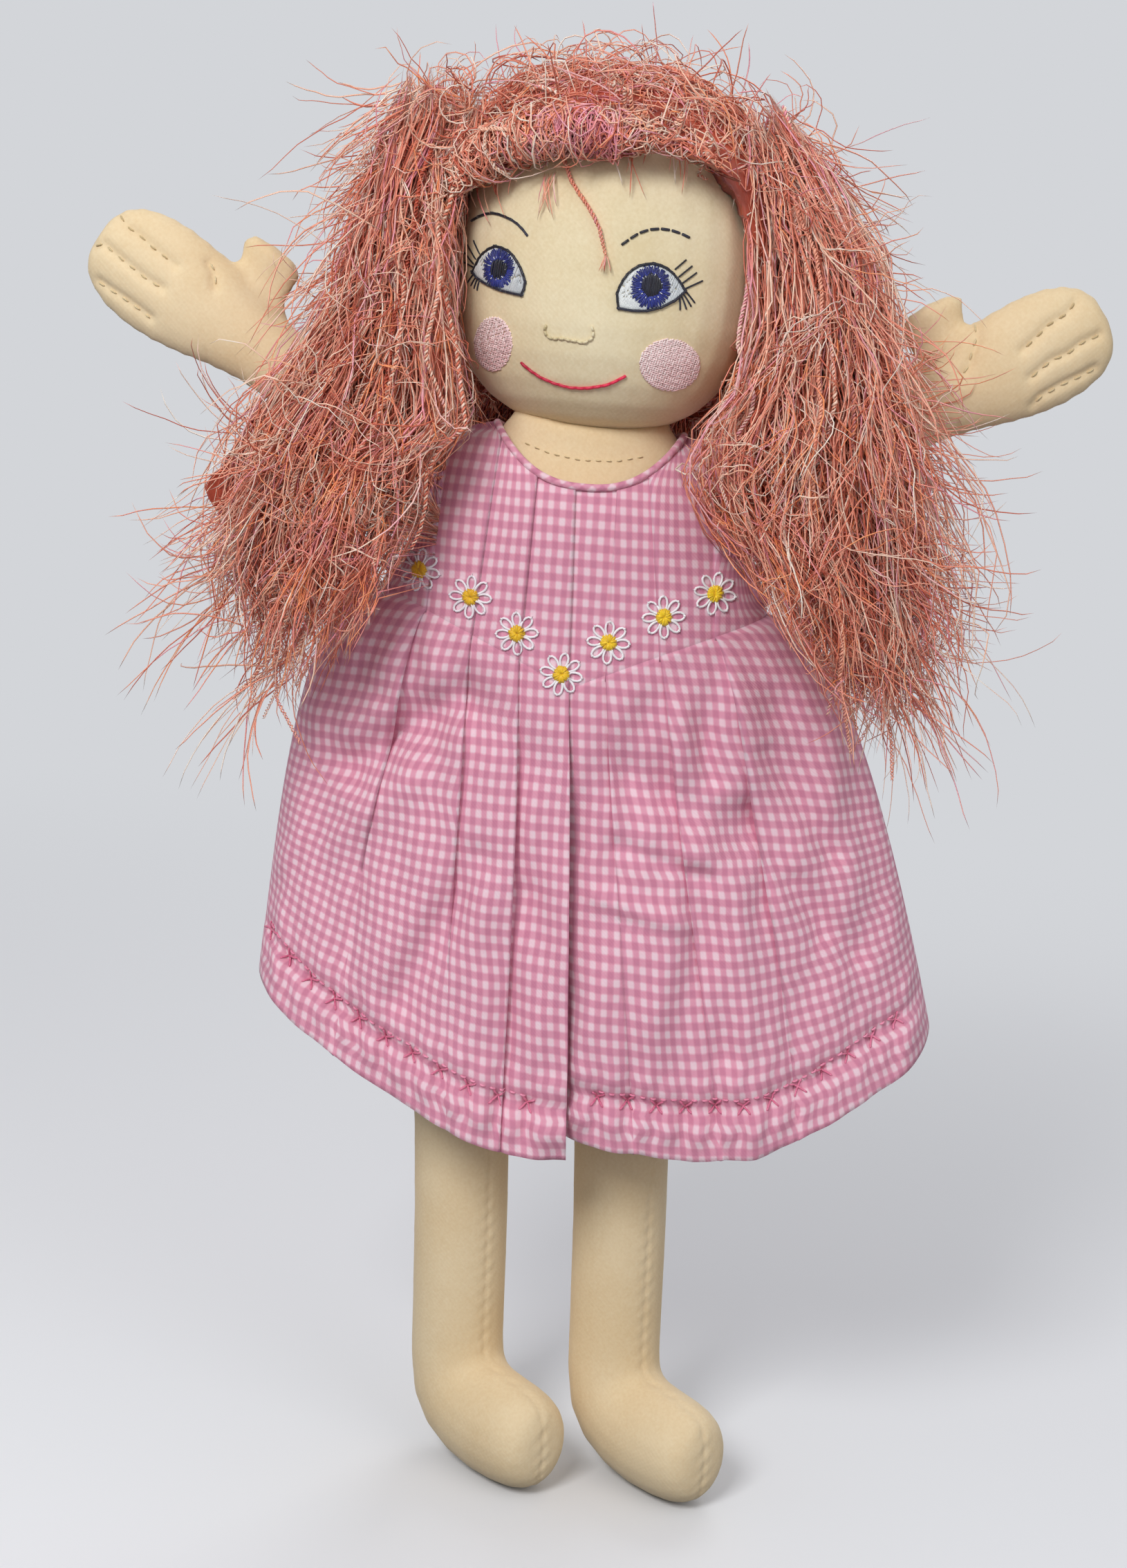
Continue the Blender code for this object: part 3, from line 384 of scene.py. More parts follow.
def thread(name, colours, roughness=0.45):
    """Mercerised cotton or rayon thread: a satin shine on fine twisted strands."""
    material, tree, shader = new_material(name, roughness, 0.2)
    place = add_node(tree, "ShaderNodeTexCoord").outputs["Object"]
    tone = add_node(tree, "ShaderNodeAttribute", {"attribute_name": "tone"}).outputs["Fac"]
    twist = add_node(tree, "ShaderNodeTexNoise", {"Scale": THREAD_NOISE, "Detail": 1.0}, {0: place})
    mixed = add_node(tree, "ShaderNodeMix", {"data_type": "FLOAT", 0: 0.5},
                     {2: tone, 3: twist.outputs["Fac"]})
    colour = colour_ramp(tree, mixed.outputs[0], (0.2, colours[1]), (0.8, colours[0]))
    surface(tree, shader, colour, twist.outputs["Fac"], 0.4, THREAD_RELIEF)
    return material


cream_thread = thread("cream quilting cotton", CREAM_THREAD, 0.6)
arms = {}
for node, lines in FINGER_LINES.items():
    arm = stuffed(node + "_stuffed", node, ARM_MESH)
    spots, facing = skin_points(arm)
    press(arm, seam(spots[:, 1], spots[:, 0], 1 - np.abs(facing[:, 1])))
    stitch_dents(arm, lines)
    finish(arm, body_muslin, "muslin", node)
    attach(arm, node)
    arms[node] = skin_tree(arm)
    stitches = []
    for line in lines:
        for way in (-1, 1):
            stitches += running_stitch(
                millimetres(line), STITCH_LENGTH, STITCH_SPACE,
                lambda x, z, rise: on_skin(arms[node], x, z, rise, way), STITCH_RISE)
    fingers = thread_mesh(node + "_finger_stitches", stitches, QUILT_THREAD)
    finish(fingers, cream_thread, "cream_thread")
    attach(fingers, node)


# Each leg is a stuffed tube with a foot turned out of it, sewn up its front and back, so the
# seam runs down the shin and over the instep. It hangs from the body by a flat stitched edge.
LEG_MESH = 0.0011
LEG_SPACING = 0.0545
HIP_HEIGHT = 0.198
SHIN_THREAD = 0.00022
SHIN_LINES = {
    "leg_right": (-1, 43.0, 0.0085, ((-12.5, 125.0), (-12.0, 113.0), (-8.6, 88.0), (-4.2, 60.0), (1.1, 44.0),
                                     (9.3, 33.5))),
    "leg_left": (1, 42.0, 0.0080, ((32.0, 125.0), (32.9, 116.0), (37.2, 92.0), (43.9, 54.0), (49.5, 40.0)))}


for node, (side, turn, lean, line) in SHIN_LINES.items():
    leg = stuffed(node + "_stuffed", node, LEG_MESH)
    spots, facing = skin_points(leg)
    turn = math.radians(turn)
    middle = side * LEG_SPACING / 2 + lean * np.clip(1 - spots[:, 2] / HIP_HEIGHT, 0, 1)
    off = (spots[:, 0] - middle) * math.cos(turn) + spots[:, 1] * math.sin(turn)
    facing_side = facing[:, 0] * math.cos(turn) + facing[:, 1] * math.sin(turn)
    above_sole = np.clip((spots[:, 2] - 0.002) / 0.002, 0, 1)
    press(leg, seam(off, spots[:, 2] - spots[:, 1], (1 - np.abs(facing_side)) * above_sole))
    finish(leg, body_muslin, "muslin", node)
    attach(leg, node)


# The head is a stuffed oval of the same muslin, sewn round its edge and stitched to the neck.
# Its colour is a little greyer than the body's and painted lighter, as light on the face. The
# stitched line under the chin closes the neck's top.
HEAD_MESH = 0.0011
HEAD_CENTRE = Vector((0, 0, 0.4025))
HEAD_TURN = math.radians(-14.0)
# Both face colours are painted lighter than the body's muslin, as painted light on the face.
FACE_CREAM_PAINTED_LIGHT = "#f0e2bf"
FACE_SHADE_PAINTED_LIGHT = "#e3d1a8"
NECK_LINE = ((-20.5, 345.0), (-12.0, 342.4), (-2.0, 341.2), (9.0, 341.8), (19.0, 344.4))
NECK_STITCH = 0.0022

face_muslin = muslin("face muslin painted lighter", FACE_CREAM_PAINTED_LIGHT, FACE_SHADE_PAINTED_LIGHT)
head = stuffed("head_stuffed", "head", HEAD_MESH)
spots, facing = skin_points(head)
off = spots[:, 1] * math.cos(HEAD_TURN) - spots[:, 0] * math.sin(HEAD_TURN)
facing_front = facing[:, 1] * math.cos(HEAD_TURN) - facing[:, 0] * math.sin(HEAD_TURN)
press(head, seam(off, spots[:, 2], 1 - np.abs(facing_front)))
finish(head, face_muslin, "face_muslin", "head")
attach(head, "head")
head_skin = skin_tree(head)
torso_skin = skin_tree(torso)
neck = running_stitch(millimetres(NECK_LINE), NECK_STITCH, NECK_STITCH / 2,
                      lambda x, z, rise: on_skin(torso_skin, x, z, rise), STITCH_RISE)
neck = thread_mesh("neck_stitches", neck, SHIN_THREAD)
finish(neck, cream_thread, "cream_thread")
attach(neck, "torso")


# The face is hand embroidery in stranded cotton: satin-stitched whites, irises worked from the
# middle outwards, backstitched outlines and brows, and round pink cheeks. All lies on the head.
FLOSS = 0.00026
SATIN_PITCH = 0.00040
OUTLINE_THREAD = 0.00044
LASH_THREAD = 0.00028
MOUTH_THREAD = 0.00052
NOSE_THREAD = 0.00044
SATIN_RISE = 0.00022
IRIS_RISE = 0.00065
PUPIL_RISE = 0.00105
NAVY = ("#2b3a9c", "#121a5c")
BLACK = ("#1b1d33", "#05060f")
WHITE = ("#eef0ee", "#c6ccd0")
CHEEK_PINK = ("#fff1ee", "#f2c5c6")
MOUTH_RED = ("#ea2450", "#b01034")
NOSE_CREAM = ("#efe4c0", "#c4b385")
EYES = {
    "right": {
        "lids": ((-40.5, 395.9), (-39.0, 399.6), (-36.7, 402.6), (-33.5, 404.0), (-30.1, 403.2),
                 (-27.4, 400.9),
                 (-25.1, 397.5), (-23.5, 394.1), (-23.9, 389.8), (-27.2, 390.1), (-31.3, 390.9),
                 (-35.5, 392.4),
                 (-38.9, 394.2), (-40.5, 395.9)),
        "iris": (-32.2, 397.3, 5.0, 6.2), "pupil": (-31.7, 397.1, 2.7, 3.6),
        "brow": ((-42.0, 411.8), (-39.2, 413.3), (-36.1, 413.9), (-32.8, 413.4), (-29.4, 412.0),
                 (-26.7, 410.3),
                 (-24.4, 407.8)),
        "lashes": (((-40.1, 397.2), (-45.1, 399.6)), ((-40.4, 398.2), (-44.2, 402.2)),
                   ((-39.9, 399.7), (-43.3, 404.5)), ((-38.7, 401.3), (-41.3, 405.8)),
                   ((-40.0, 395.8), (-42.1, 392.7)), ((-39.2, 395.0), (-41.0, 391.7)),
                   ((-38.8, 394.3), (-39.8, 390.9)), ((-38.2, 393.4), (-38.7, 390.4))),
        "cheek": (-32.4, 374.6, 6.2, 8.3)},
    "left": {
        "lids": ((5.2, 388.2), (4.3, 392.1), (5.3, 395.7), (7.5, 399.1), (10.6, 401.3), (14.2, 402.2),
                 (17.9, 401.6),
                 (21.0, 399.6), (23.4, 396.9), (24.7, 394.9), (21.7, 391.8), (17.6, 389.3), (13.3, 388.0),
                 (8.9, 387.8), (5.2, 388.2)),
        "iris": (14.3, 395.2, 6.0, 6.5), "pupil": (14.4, 395.9, 3.1, 4.0),
        "brow": ((4.2, 406.5), (6.4, 408.4), (9.1, 410.5), (12.3, 411.9), (15.5, 412.5), (19.2, 412.4),
                 (22.5, 411.6), (25.0, 410.7)),
        "lashes": (((21.0, 400.9), (24.4, 404.4)), ((22.3, 398.8), (26.4, 402.8)),
                   ((23.6, 397.1), (28.0, 401.0)),
                   ((24.6, 395.6), (30.1, 398.8)), ((25.2, 394.8), (28.2, 391.8)),
                   ((24.5, 394.0), (27.2, 390.6)),
                   ((23.8, 393.6), (25.8, 389.6)), ((23.3, 393.0), (23.8, 389.2))),
        "cheek": (22.4, 372.8, 9.4, 7.8)}}
MOUTH = ((-22.9, 369.7), (-20.1, 367.7), (-16.3, 365.7), (-12.5, 364.5), (-8.0, 363.6), (-3.6, 363.7),
         (0.8, 364.4),
         (4.4, 365.6), (7.2, 367.1), (9.2, 368.4))
NOSE = ((-16.1, 381.7), (-16.6, 379.5), (-14.6, 377.5), (-11.4, 377.6), (-8.1, 377.7), (-4.7, 377.1),
        (-2.2, 377.8),
        (-1.3, 380.1), (-2.3, 382.5))


def oval(middle_x, middle_z, half_width, half_height, count=40):
    """A closed outline in metres, from sizes in mm."""
    angles = [2 * math.pi * i / count for i in range(count + 1)]
    return [((middle_x + half_width * math.cos(a)) / 1000, (middle_z + half_height * math.sin(a)) / 1000)
            for a in angles]


def satin(outline, lean, pitch, rng):
    """Straight stitches side by side that fill a closed outline, as pairs of ends."""
    turn = np.array([[math.cos(lean), math.sin(lean)], [-math.sin(lean), math.cos(lean)]])
    corners = np.array(outline) @ turn.T
    ends = []
    level = corners[:, 1].min() + pitch / 2
    while level < corners[:, 1].max():
        crossings = []
        for (x0, y0), (x1, y1) in zip(corners, corners[1:]):
            if (y0 <= level) != (y1 <= level):
                crossings.append(x0 + (level - y0) / (y1 - y0) * (x1 - x0))
        crossings.sort()
        for first, last in zip(crossings[::2], crossings[1::2]):
            slip = rng.uniform(-0.3, 0.3) * pitch
            ends.append((np.array([first, level]) @ turn, np.array([last, level + slip]) @ turn))
        level += pitch
    return ends


def broken(ends, longest, rng):
    """Long stitches split at random places, as in a filling of shorter ones."""
    parts = []
    for first, last in ends:
        length = np.linalg.norm(last - first)
        cuts = [0.0]
        while (1 - cuts[-1]) * length > longest:
            cuts.append(cuts[-1] + rng.uniform(0.55, 1.0) * longest / length)
        cuts.append(1.0)
        parts += [(first + a * (last - first), first + b * (last - first)) for a, b in zip(cuts, cuts[1:])]
    return parts


def embroider(ends, rise, rng, lay=lambda x, z, rise: on_skin(head_skin, x, z, rise), dip=0.1):
    """Each stitch as a thread that leaves the cloth, lies on it and goes in again."""
    threads = []
    for first, last in ends:
        length = np.linalg.norm(np.array(last) - np.array(first))
        count = max(4, round(length / 0.0012) + 2)
        lift = rise * rng.uniform(0.8, 1.25)
        points = []
        for share in (0.0, *np.linspace(0.05, 0.95, count), 1.0):
            x, z = np.array(first) + share * (np.array(last) - np.array(first))
            points.append(lay(x, z, lift * min(1.0, 3.2 * math.sin(math.pi * share) + dip)))
        threads.append(points)
    return threads


def backstitch(line, length, rng, wander=0.0, lap=0.0):
    """Stitches that touch or lap along a line, as pairs of ends."""
    steps = walk(millimetres(line), length)
    steps = steps + rng.uniform(-wander, wander, steps.shape)
    return [(a - lap * (b - a), b + lap * (b - a)) for a, b in zip(steps, steps[1:])]


def spokes(middle_x, middle_z, inner, outer, half_width, half_height, count, rng):
    """Stitches that run outwards from a middle between two sizes of oval."""
    ends = []
    for i in range(count):
        angle = 2 * math.pi * (i + rng.uniform(-0.3, 0.3)) / count
        near, far = inner * rng.uniform(0.92, 1.1), outer * rng.uniform(0.9, 1.06)
        way = np.array([half_width * math.cos(angle), half_height * math.sin(angle)])
        ends.append(((np.array([middle_x, middle_z]) + near * way) / 1000,
                     (np.array([middle_x, middle_z]) + far * way) / 1000))
    return ends


def embroidered(name, threads, radius, material, slot, *nodes):
    """A piece of stitches that rides on the head."""
    piece = thread_mesh(name, threads, radius)
    finish(piece, material, slot, *nodes)
    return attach(piece, "head")


navy_thread = thread("navy stranded cotton", NAVY)
black_thread = thread("black stranded cotton", BLACK)
white_thread = thread("white stranded cotton", WHITE)
pink_thread = thread("pale pink stranded cotton", CHEEK_PINK)
red_thread = thread("red stranded cotton", MOUTH_RED)
nose_thread = thread("ecru stranded cotton", NOSE_CREAM, 0.6)
rng = np.random.RandomState(11)
for word, eye in EYES.items():
    white = broken(satin(millimetres(eye["lids"]), 1.25, SATIN_PITCH, rng), 0.006, rng)
    white = embroider(white, SATIN_RISE, rng)
    embroidered("eye_white_stitches_" + word, white, FLOSS, white_thread, "white_thread", "eye_white_" + word)
    iris = embroider(spokes(*eye["iris"][:2], 0.45, 1.0, *eye["iris"][2:], 64, rng), IRIS_RISE, rng)
    iris += embroider(spokes(*eye["iris"][:2], 0.30, 0.78, *eye["iris"][2:], 44, rng), IRIS_RISE, rng)
    embroidered("iris_stitches_" + word, iris, FLOSS, navy_thread, "blue_thread", "iris_" + word)
    glints = embroider(spokes(*eye["iris"][:2], 0.50, 0.62, *eye["iris"][2:], 15, rng), PUPIL_RISE, rng)
    embroidered("iris_glints_" + word, glints, 0.6 * FLOSS, white_thread, "white_thread")
    pupil = embroider(satin(oval(*eye["pupil"]), 1.5, SATIN_PITCH, rng), PUPIL_RISE, rng)
    embroidered("pupil_stitches_" + word, pupil, FLOSS, black_thread, "black_thread", "pupil_" + word)
    lids = embroider(backstitch(eye["lids"], 0.0022, rng, 0.0, 0.28), SATIN_RISE + FLOSS, rng, dip=0.7)
    embroidered("eye_outline_" + word, lids, OUTLINE_THREAD, black_thread, "black_thread")
    lashes = embroider([np.array(l) / 1000 for l in eye["lashes"]], SATIN_RISE, rng)
    embroidered("lashes_" + word, lashes, LASH_THREAD, black_thread, "black_thread")
    length, lap, dip = (0.0022, 0.28, 0.6) if word == "right" else (0.0032, -0.09, 0.0)
    brow = embroider(backstitch(eye["brow"], length, rng, 0.0, lap), SATIN_RISE, rng, dip=dip)
    embroidered("brow_stitches_" + word, brow, OUTLINE_THREAD, black_thread, "black_thread", "brow_" + word)
    cheek = broken(satin(oval(*eye["cheek"]), 0.35, 0.00055, rng), 0.0032, rng)
    cheek += broken(satin(oval(*eye["cheek"]), 1.35, 0.00075, rng), 0.0026, rng)
    cheek = embroider(cheek, SATIN_RISE, rng)
    embroidered("cheek_stitches_" + word, cheek, FLOSS, pink_thread, "pink_thread", "cheek_" + word)
mouth = embroider(backstitch(MOUTH, 0.0027, rng, 0.0, 0.06), SATIN_RISE + FLOSS, rng, dip=0.15)
embroidered("mouth_stitches", mouth, MOUTH_THREAD, red_thread, "red_thread", "mouth_stitch")
nose = embroider(backstitch(NOSE, 0.0019, rng, 0.00022, -0.10), SATIN_RISE + FLOSS, rng, dip=0.0)
embroidered("nose_stitches", nose, NOSE_THREAD, nose_thread, "cream_thread", "nose_stitch")


# The dress's front is thin cotton gingham in a woven check. The yoke is pressed into narrow
# stitched tucks that end in a V, where they open into the flat pleats of the skirt's two halves.
# The halves meet in a deep middle pleat, and a gathered, stitched frill finishes the hem.
CLOTH = 0.0006
CLOTH_FACE = 0.0012          # how far the outer face stands off the part's own dress surface
SEAM_POWER = 16              # front and back come together at the sewn side seams
SEAM_REACH = 0.0120          # the cloth lies flat this near to them
YOKE_HALF_WIDTH = 0.0620
YOKE_SHOULDER_SHARE = 0.82
YOKE_DEPTH = 0.0275
YOKE_SIDE_Z = 0.2965
YOKE_POINT_Z = 0.2700
SHOULDER_SEAM_Z = 0.3510
NECKLINE_Z = 0.3335
NECKLINE_HALF_WIDTH = 0.0300
STRAP_OUTER_X = 0.0450
STRAP_DROP = 0.0040
ARMPIT_Z = 0.3020
SIDE_POWER = 2.4
SHOULDER_POWER = 4.0
NECKLINE_POWER = 2.5
HEM_SHIFT_X = 0.0180
PLEAT_SHIFT_X = 0.0110
HEM_HALF_WIDTH = 0.1120
HEM_SIDE_Z = 0.1570
FLARE_POWER = 0.43
MIDDLE_FLARE = 0.75
DEPTH_HEM_Z = 0.1270
FRONT_HEM_DEPTH = 0.0460
BACK_HEM_DEPTH = 0.0340
GAP = 0.0003
HEM_RIGHT = ((-1.0, 0.170), (-0.8, 0.1645), (-0.555, 0.151), (-0.38, 0.140), (-0.24, 0.131),
             (-0.10, 0.1245), (0.0, 0.1235))
HEM_LEFT = ((-0.05, 0.1300), (0.0, 0.1295), (0.115, 0.1275), (0.23, 0.1255), (0.35, 0.1285),
            (0.485, 0.1365), (0.635, 0.148), (0.9, 0.161), (1.0, 0.165))
YOKE_TUCK_IN = 0.0008
YOKE_LAP = 0.0022
TUCK_DEPTH = 0.0010
TUCK_OVERLAP = 0.0007
# Each fold: its x at the neck in mm, its share of the half width at the V and at the hem, its
# depth and overlap in mm, the side that lies over, and the share of the drop where it ends.
FOLDS = (
    (-45.3, -0.550, -0.500, 5.0, 4.0, 1, 0.60), (-27.9, -0.345, -0.225, 4.5, 3.0, 1, 0.72),
    (-15.5, -0.170, -0.120, 6.0, 4.0, 1, 1.25), (-3.4, 0.000, 0.000, 8.0, 2.6, 1, 9.0),
    (10.0, 0.120, 0.125, 2.6, 1.2, -1, 0.55), (19.4, 0.300, 0.285, 4.2, 2.6, -1, 0.90),
    (40.0, 0.520, 0.445, 4.6, 3.2, -1, 0.85))
MIDDLE_FOLD = FOLDS[3]
PLEAT_EDGE = 0.0050
PLEAT_SLOPE = 0.0065
UNDERLAP_SHARE = -0.055
GORE_SWELL = 0.0020
RIPPLE = 0.0058
FAN_PLACES = ((-0.0500, 0.2990), (0.0450, 0.3000))
FAN_CREASE = 0.0019
# Each soft dip or, with a negative depth, ridge of the cloth: its two ends in mm, its half width
# and its depth.
DRAPES = ((-34, 264, -66, 238, 7.5, 8.5), (-50, 236, -86, 204, 6.5, -3.0), (24, 243, 58, 229, 8.0, 4.4),
          (24, 268, 34, 238, 3.8, 3.0), (66, 254, 90, 222, 3.4, 3.2), (60, 236, 88, 196, 3.2, 2.8),
          (78, 214, 100, 190, 3.4, 2.8), (46, 214, 60, 160, 5.5, 3.6), (-24, 214, -46, 168, 6.0, 4.0),
          (-70, 222, -92, 192, 3.8, 3.0), (16, 206, 44, 200, 3.3, -2.6), (-8, 204, -14, 150, 5.0, 2.0),
          (-48, 286, -60, 262, 3.0, 3.0), (36, 284, 48, 246, 3.8, 4.2), (20, 222, 50, 214, 3.0, 2.2))
YOKE_COLUMNS = 12
YOKE_ROWS = 40
SKIRT_COLUMNS = 24
SKIRT_ROWS = 96
FRILL_HEIGHT = 0.0155
FRILL_FLARE = 0.0026
FRILL_PUFF = 0.0024
GATHER_DEPTH = 0.0028
GATHER_PITCH = 0.00975
GATHER_REACH = 0.0024
PUFF_REACH = 0.0042
BLOUSE_REACH = 0.0035
PINCH = 0.0021
CHECK_ACROSS = 0.0039
CHECK_UP = 0.0049
GINGHAM_WHITE = "#f0d0da"
GINGHAM_PINK = "#e09cb2"
GINGHAM_DEEP = "#ce849e"
GINGHAM_PITCH = 0.0006       # a real gingham has about 3 threads a mm, too fine to show
GINGHAM_RELIEF = 0.00005
CHECK_EDGE = 0.32


def eased(value, start, end):
    share = np.clip((value - start) / (end - start), 0, 1)
    return share * share * (3 - 2 * share)


def dress_top(offset, neckline):
    """Height of the cut edge: neckline, shoulder seam, then armhole."""
    reach = abs(offset)
    if reach <= NECKLINE_HALF_WIDTH:
        return neckline + (reach / NECKLINE_HALF_WIDTH) ** NECKLINE_POWER * (SHOULDER_SEAM_Z - neckline)
    if reach <= STRAP_OUTER_X:
        share = (reach - NECKLINE_HALF_WIDTH) / (STRAP_OUTER_X - NECKLINE_HALF_WIDTH)
        return SHOULDER_SEAM_Z - share * STRAP_DROP
    share = min(1.0, (reach - STRAP_OUTER_X) / (YOKE_HALF_WIDTH - STRAP_OUTER_X))
    return ARMPIT_Z + (SHOULDER_SEAM_Z - STRAP_DROP - ARMPIT_Z) * (1 - share) ** NECKLINE_POWER


def yoke_edge(offset):
    """Height of the V where the yoke ends, at an offset from its middle."""
    share = min(1.0, abs(offset) / YOKE_HALF_WIDTH)
    return YOKE_POINT_Z + (YOKE_SIDE_Z - YOKE_POINT_Z) * share ** 0.9


def dress_depth(z, hem_depth, offset):
    """How far the cloth stands from the side seams, closing at the shoulder seam."""
    if z <= YOKE_SIDE_Z:
        return hem_depth + (YOKE_DEPTH - hem_depth) * eased(z, DEPTH_HEM_Z, YOKE_SIDE_Z)
    slope = max(0.0, (abs(offset) - NECKLINE_HALF_WIDTH) / (STRAP_OUTER_X - NECKLINE_HALF_WIDTH))
    rise = (z - YOKE_SIDE_Z) / (SHOULDER_SEAM_Z - STRAP_DROP * slope - YOKE_SIDE_Z)
    return YOKE_DEPTH * math.sqrt(max(0.0, 1 - rise ** SHOULDER_POWER))


def dress_stand(side, depth):
    """The outer face's distance from the side seams, side being the share of the half width."""
    side = min(1.0, abs(side))
    return depth * math.sqrt(max(0.0, 1 - side ** SIDE_POWER)) + CLOTH_FACE * (1 - side ** SEAM_POWER)


def yoke_point(offset, z):
    """A point of the yoke's outer face."""
    half = YOKE_HALF_WIDTH * (1 + (YOKE_SHOULDER_SHARE - 1) * float(eased(z, YOKE_SIDE_Z, SHOULDER_SEAM_Z)))
    side = offset / half
    return np.array([offset, -dress_stand(side, dress_depth(z, FRONT_HEM_DEPTH, side * YOKE_HALF_WIDTH)), z])


def yoke_place(offset, up):
    """A point of the yoke, whose lowest row is tucked in behind the skirt's top."""
    low, tucked = yoke_edge(offset), max(0.0, 1 - up * YOKE_ROWS)
    up = max(0.0, up * YOKE_ROWS - 1) / (YOKE_ROWS - 1)
    point = yoke_point(offset, low + up * (dress_top(offset, NECKLINE_Z) - low))
    return point + tucked * np.array([0, YOKE_TUCK_IN, -YOKE_LAP])


def seam_half_width(z, share=1.0):
    """Half the skirt's width at a height, which opens later at its middle than at its sides."""
    drop = min(1.0, max(0.0, (YOKE_SIDE_Z - z) / (YOKE_SIDE_Z - HEM_SIDE_Z)))
    power = FLARE_POWER + MIDDLE_FLARE * (1 - min(1.0, abs(share)))
    return YOKE_HALF_WIDTH + (HEM_HALF_WIDTH - YOKE_HALF_WIDTH) * drop ** power


def seam_middle(z):
    """How far the skirt's middle has swung aside at a height."""
    return HEM_SHIFT_X * min(1.0, max(0.0, (YOKE_SIDE_Z - z) / (YOKE_SIDE_Z - HEM_SIDE_Z)))


def hem_z(share, hem):
    """Height of the hem at a share of the half width."""
    shares, heights = zip(*hem)
    return float(np.interp(share, shares, heights))


def creases(x, z):
    """Depth of the soft waves that run down the cloth, and of the fans under the outer daisies."""
    depth = RIPPLE * noise.noise(Vector((40 * x, 12 * z, 3.7))) + 0.4 * RIPPLE * noise.noise(
        Vector((120 * x, 45 * z, 1.3)))
    for fan_x, fan_z in FAN_PLACES:
        reach, angle = math.hypot(x - fan_x, z - fan_z), math.atan2(x - fan_x, fan_z - z)
        depth += FAN_CREASE * math.exp(-((reach - 0.028) / 0.024) ** 2) * math.sin(12 * angle + 1)
    for x0, z0, x1, z1, half, dip in DRAPES:
        start, way = np.array([x0, z0]), np.array([x1 - x0, z1 - z0])
        along = np.clip(np.dot(np.array([1000 * x, 1000 * z]) - start, way) / np.dot(way, way), 0, 1)
        off = np.linalg.norm(start + along * way - np.array([1000 * x, 1000 * z]))
        depth += dip / 1000 * math.exp(-(off / half) ** 2)
    return depth


def skirt_place(share, down, hem, under):
    """A point of the skirt's front, down running from the V to the hem. Under is how deep the
    cloth lies beside the middle pleat."""
    across = math.sin(math.pi / 2 * share)
    high, low = yoke_edge(YOKE_HALF_WIDTH * across), hem_z(share, hem)
    z = high - down * (high - low)
    level = YOKE_SIDE_Z - down * (YOKE_SIDE_Z - HEM_SIDE_Z)
    x = seam_middle(level) + seam_half_width(level, share) * across
    x += (PLEAT_SHIFT_X - HEM_SHIFT_X) * down * (1 - abs(share))
    beside = math.exp(-max(0.0, across) * seam_half_width(level, share) / PLEAT_SLOPE)
    stand = dress_stand(across, dress_depth(z, FRONT_HEM_DEPTH, 0.0))
    stand -= under * fold_open(MIDDLE_FOLD, down)[0] * beside
    slack = eased(down, 0.0, 0.2) * eased(1 - abs(share), 0.0, 0.22)
    return np.array([x, creases(x, z) * slack - stand, z])


def fold_open(fold, down):
    """A fold's depth and overlap: nearly shut in the yoke and at its V, open below, then gone."""
    opened, left = float(eased(down, 0.0, 0.38)), 1 - float(eased(down, 0.35 * fold[6], fold[6]))
    return (left * (TUCK_DEPTH + opened * (fold[3] / 1000 - TUCK_DEPTH)),
            left * (TUCK_OVERLAP + opened * (fold[4] / 1000 - TUCK_OVERLAP)))


def pleated_grid(lines, columns, rows, place, opening):
    """Points of cloth between fold lines, each of which runs from one place at the first row to
    another at the last. The cloth on one side of a line lies over the cloth on its other side."""
    grid = []
    for lines_here in zip(lines, lines[1:]):
        for i in range(columns + 1):
            column = []
            for j in range(rows + 1):
                t = j / rows
                ends = [start + t * (end - start) for start, end, _ in lines_here]
                flat = place(ends[0] + i / columns * (ends[1] - ends[0]), t)
                point = flat.copy()
                for way, end, (_, _, fold) in zip((-1, 1), ends, lines_here):
                    if fold:
                        depth, overlap = opening(fold, t)
                        gap = np.linalg.norm(flat - place(end, t))
                        near = math.exp(-gap / PLEAT_EDGE)
                        point[0] += way * overlap / 2 * near
                        under = depth * math.exp(-gap / PLEAT_SLOPE)
                        point[1] += -0.2 * depth * near if fold[5] == way else under
                column.append(point)
            grid.append(column)
    return np.array(grid)


def frill(grid, skip, way=1):
    """Pinch a half skirt's cloth in along the gathering line, and puff it out below. Returns the
    places of the pinches."""
    line = []
    for column in grid[skip:-8]:
        low = column[-1, 2]
        row = int(np.argmin(np.abs(column[:, 2] - low - FRILL_HEIGHT)))
        if not line or column[row, 0] > line[-1][0] + 0.0004:
            line.append((column[row, 0], column[row, 2]))
    line = walk(line, GATHER_PITCH)
    pinches = (line[:-1] + line[1:]) / 2
    above = grid[:, :, 2] - grid[:, -1:, 2]
    pinch = np.exp(-((grid[:, :, 0, None] - pinches[:, 0]) / PINCH) ** 2).max(2)
    flare = np.clip(1 - above / FRILL_HEIGHT, 0, 1)
    gather = np.exp(-((above - FRILL_HEIGHT) / GATHER_REACH) ** 2)
    puff = np.exp(-((above - 0.55 * FRILL_HEIGHT) / PUFF_REACH) ** 2)
    puff += 0.6 * np.exp(-((above - 1.45 * FRILL_HEIGHT) / BLOUSE_REACH) ** 2)
    seam = grid[0] if abs(grid[0, -1, 0]) > abs(grid[-1, -1, 0]) else grid[-1]
    loose = np.clip(np.linalg.norm(grid - seam, axis=2) / SEAM_REACH, 0, 1)
    grid[:, :, 1] += way * loose * (GATHER_DEPTH * gather * (0.4 + pinch) - FRILL_FLARE * flare
                                    - FRILL_PUFF * puff * (1 - 1.3 * pinch))
    return pinches


def gore_middles(points, gores, level):
    """Where each gore's middle lies along a row of a sheet."""
    steps = np.linalg.norm(np.diff(points[:, level], axis=0), axis=1)
    across = np.concatenate([[0], np.cumsum(steps)])
    starts = np.concatenate([[0], np.cumsum(gores)])
    return [(across[a] + across[b]) / 2 for a, b in zip(starts, starts[1:])]


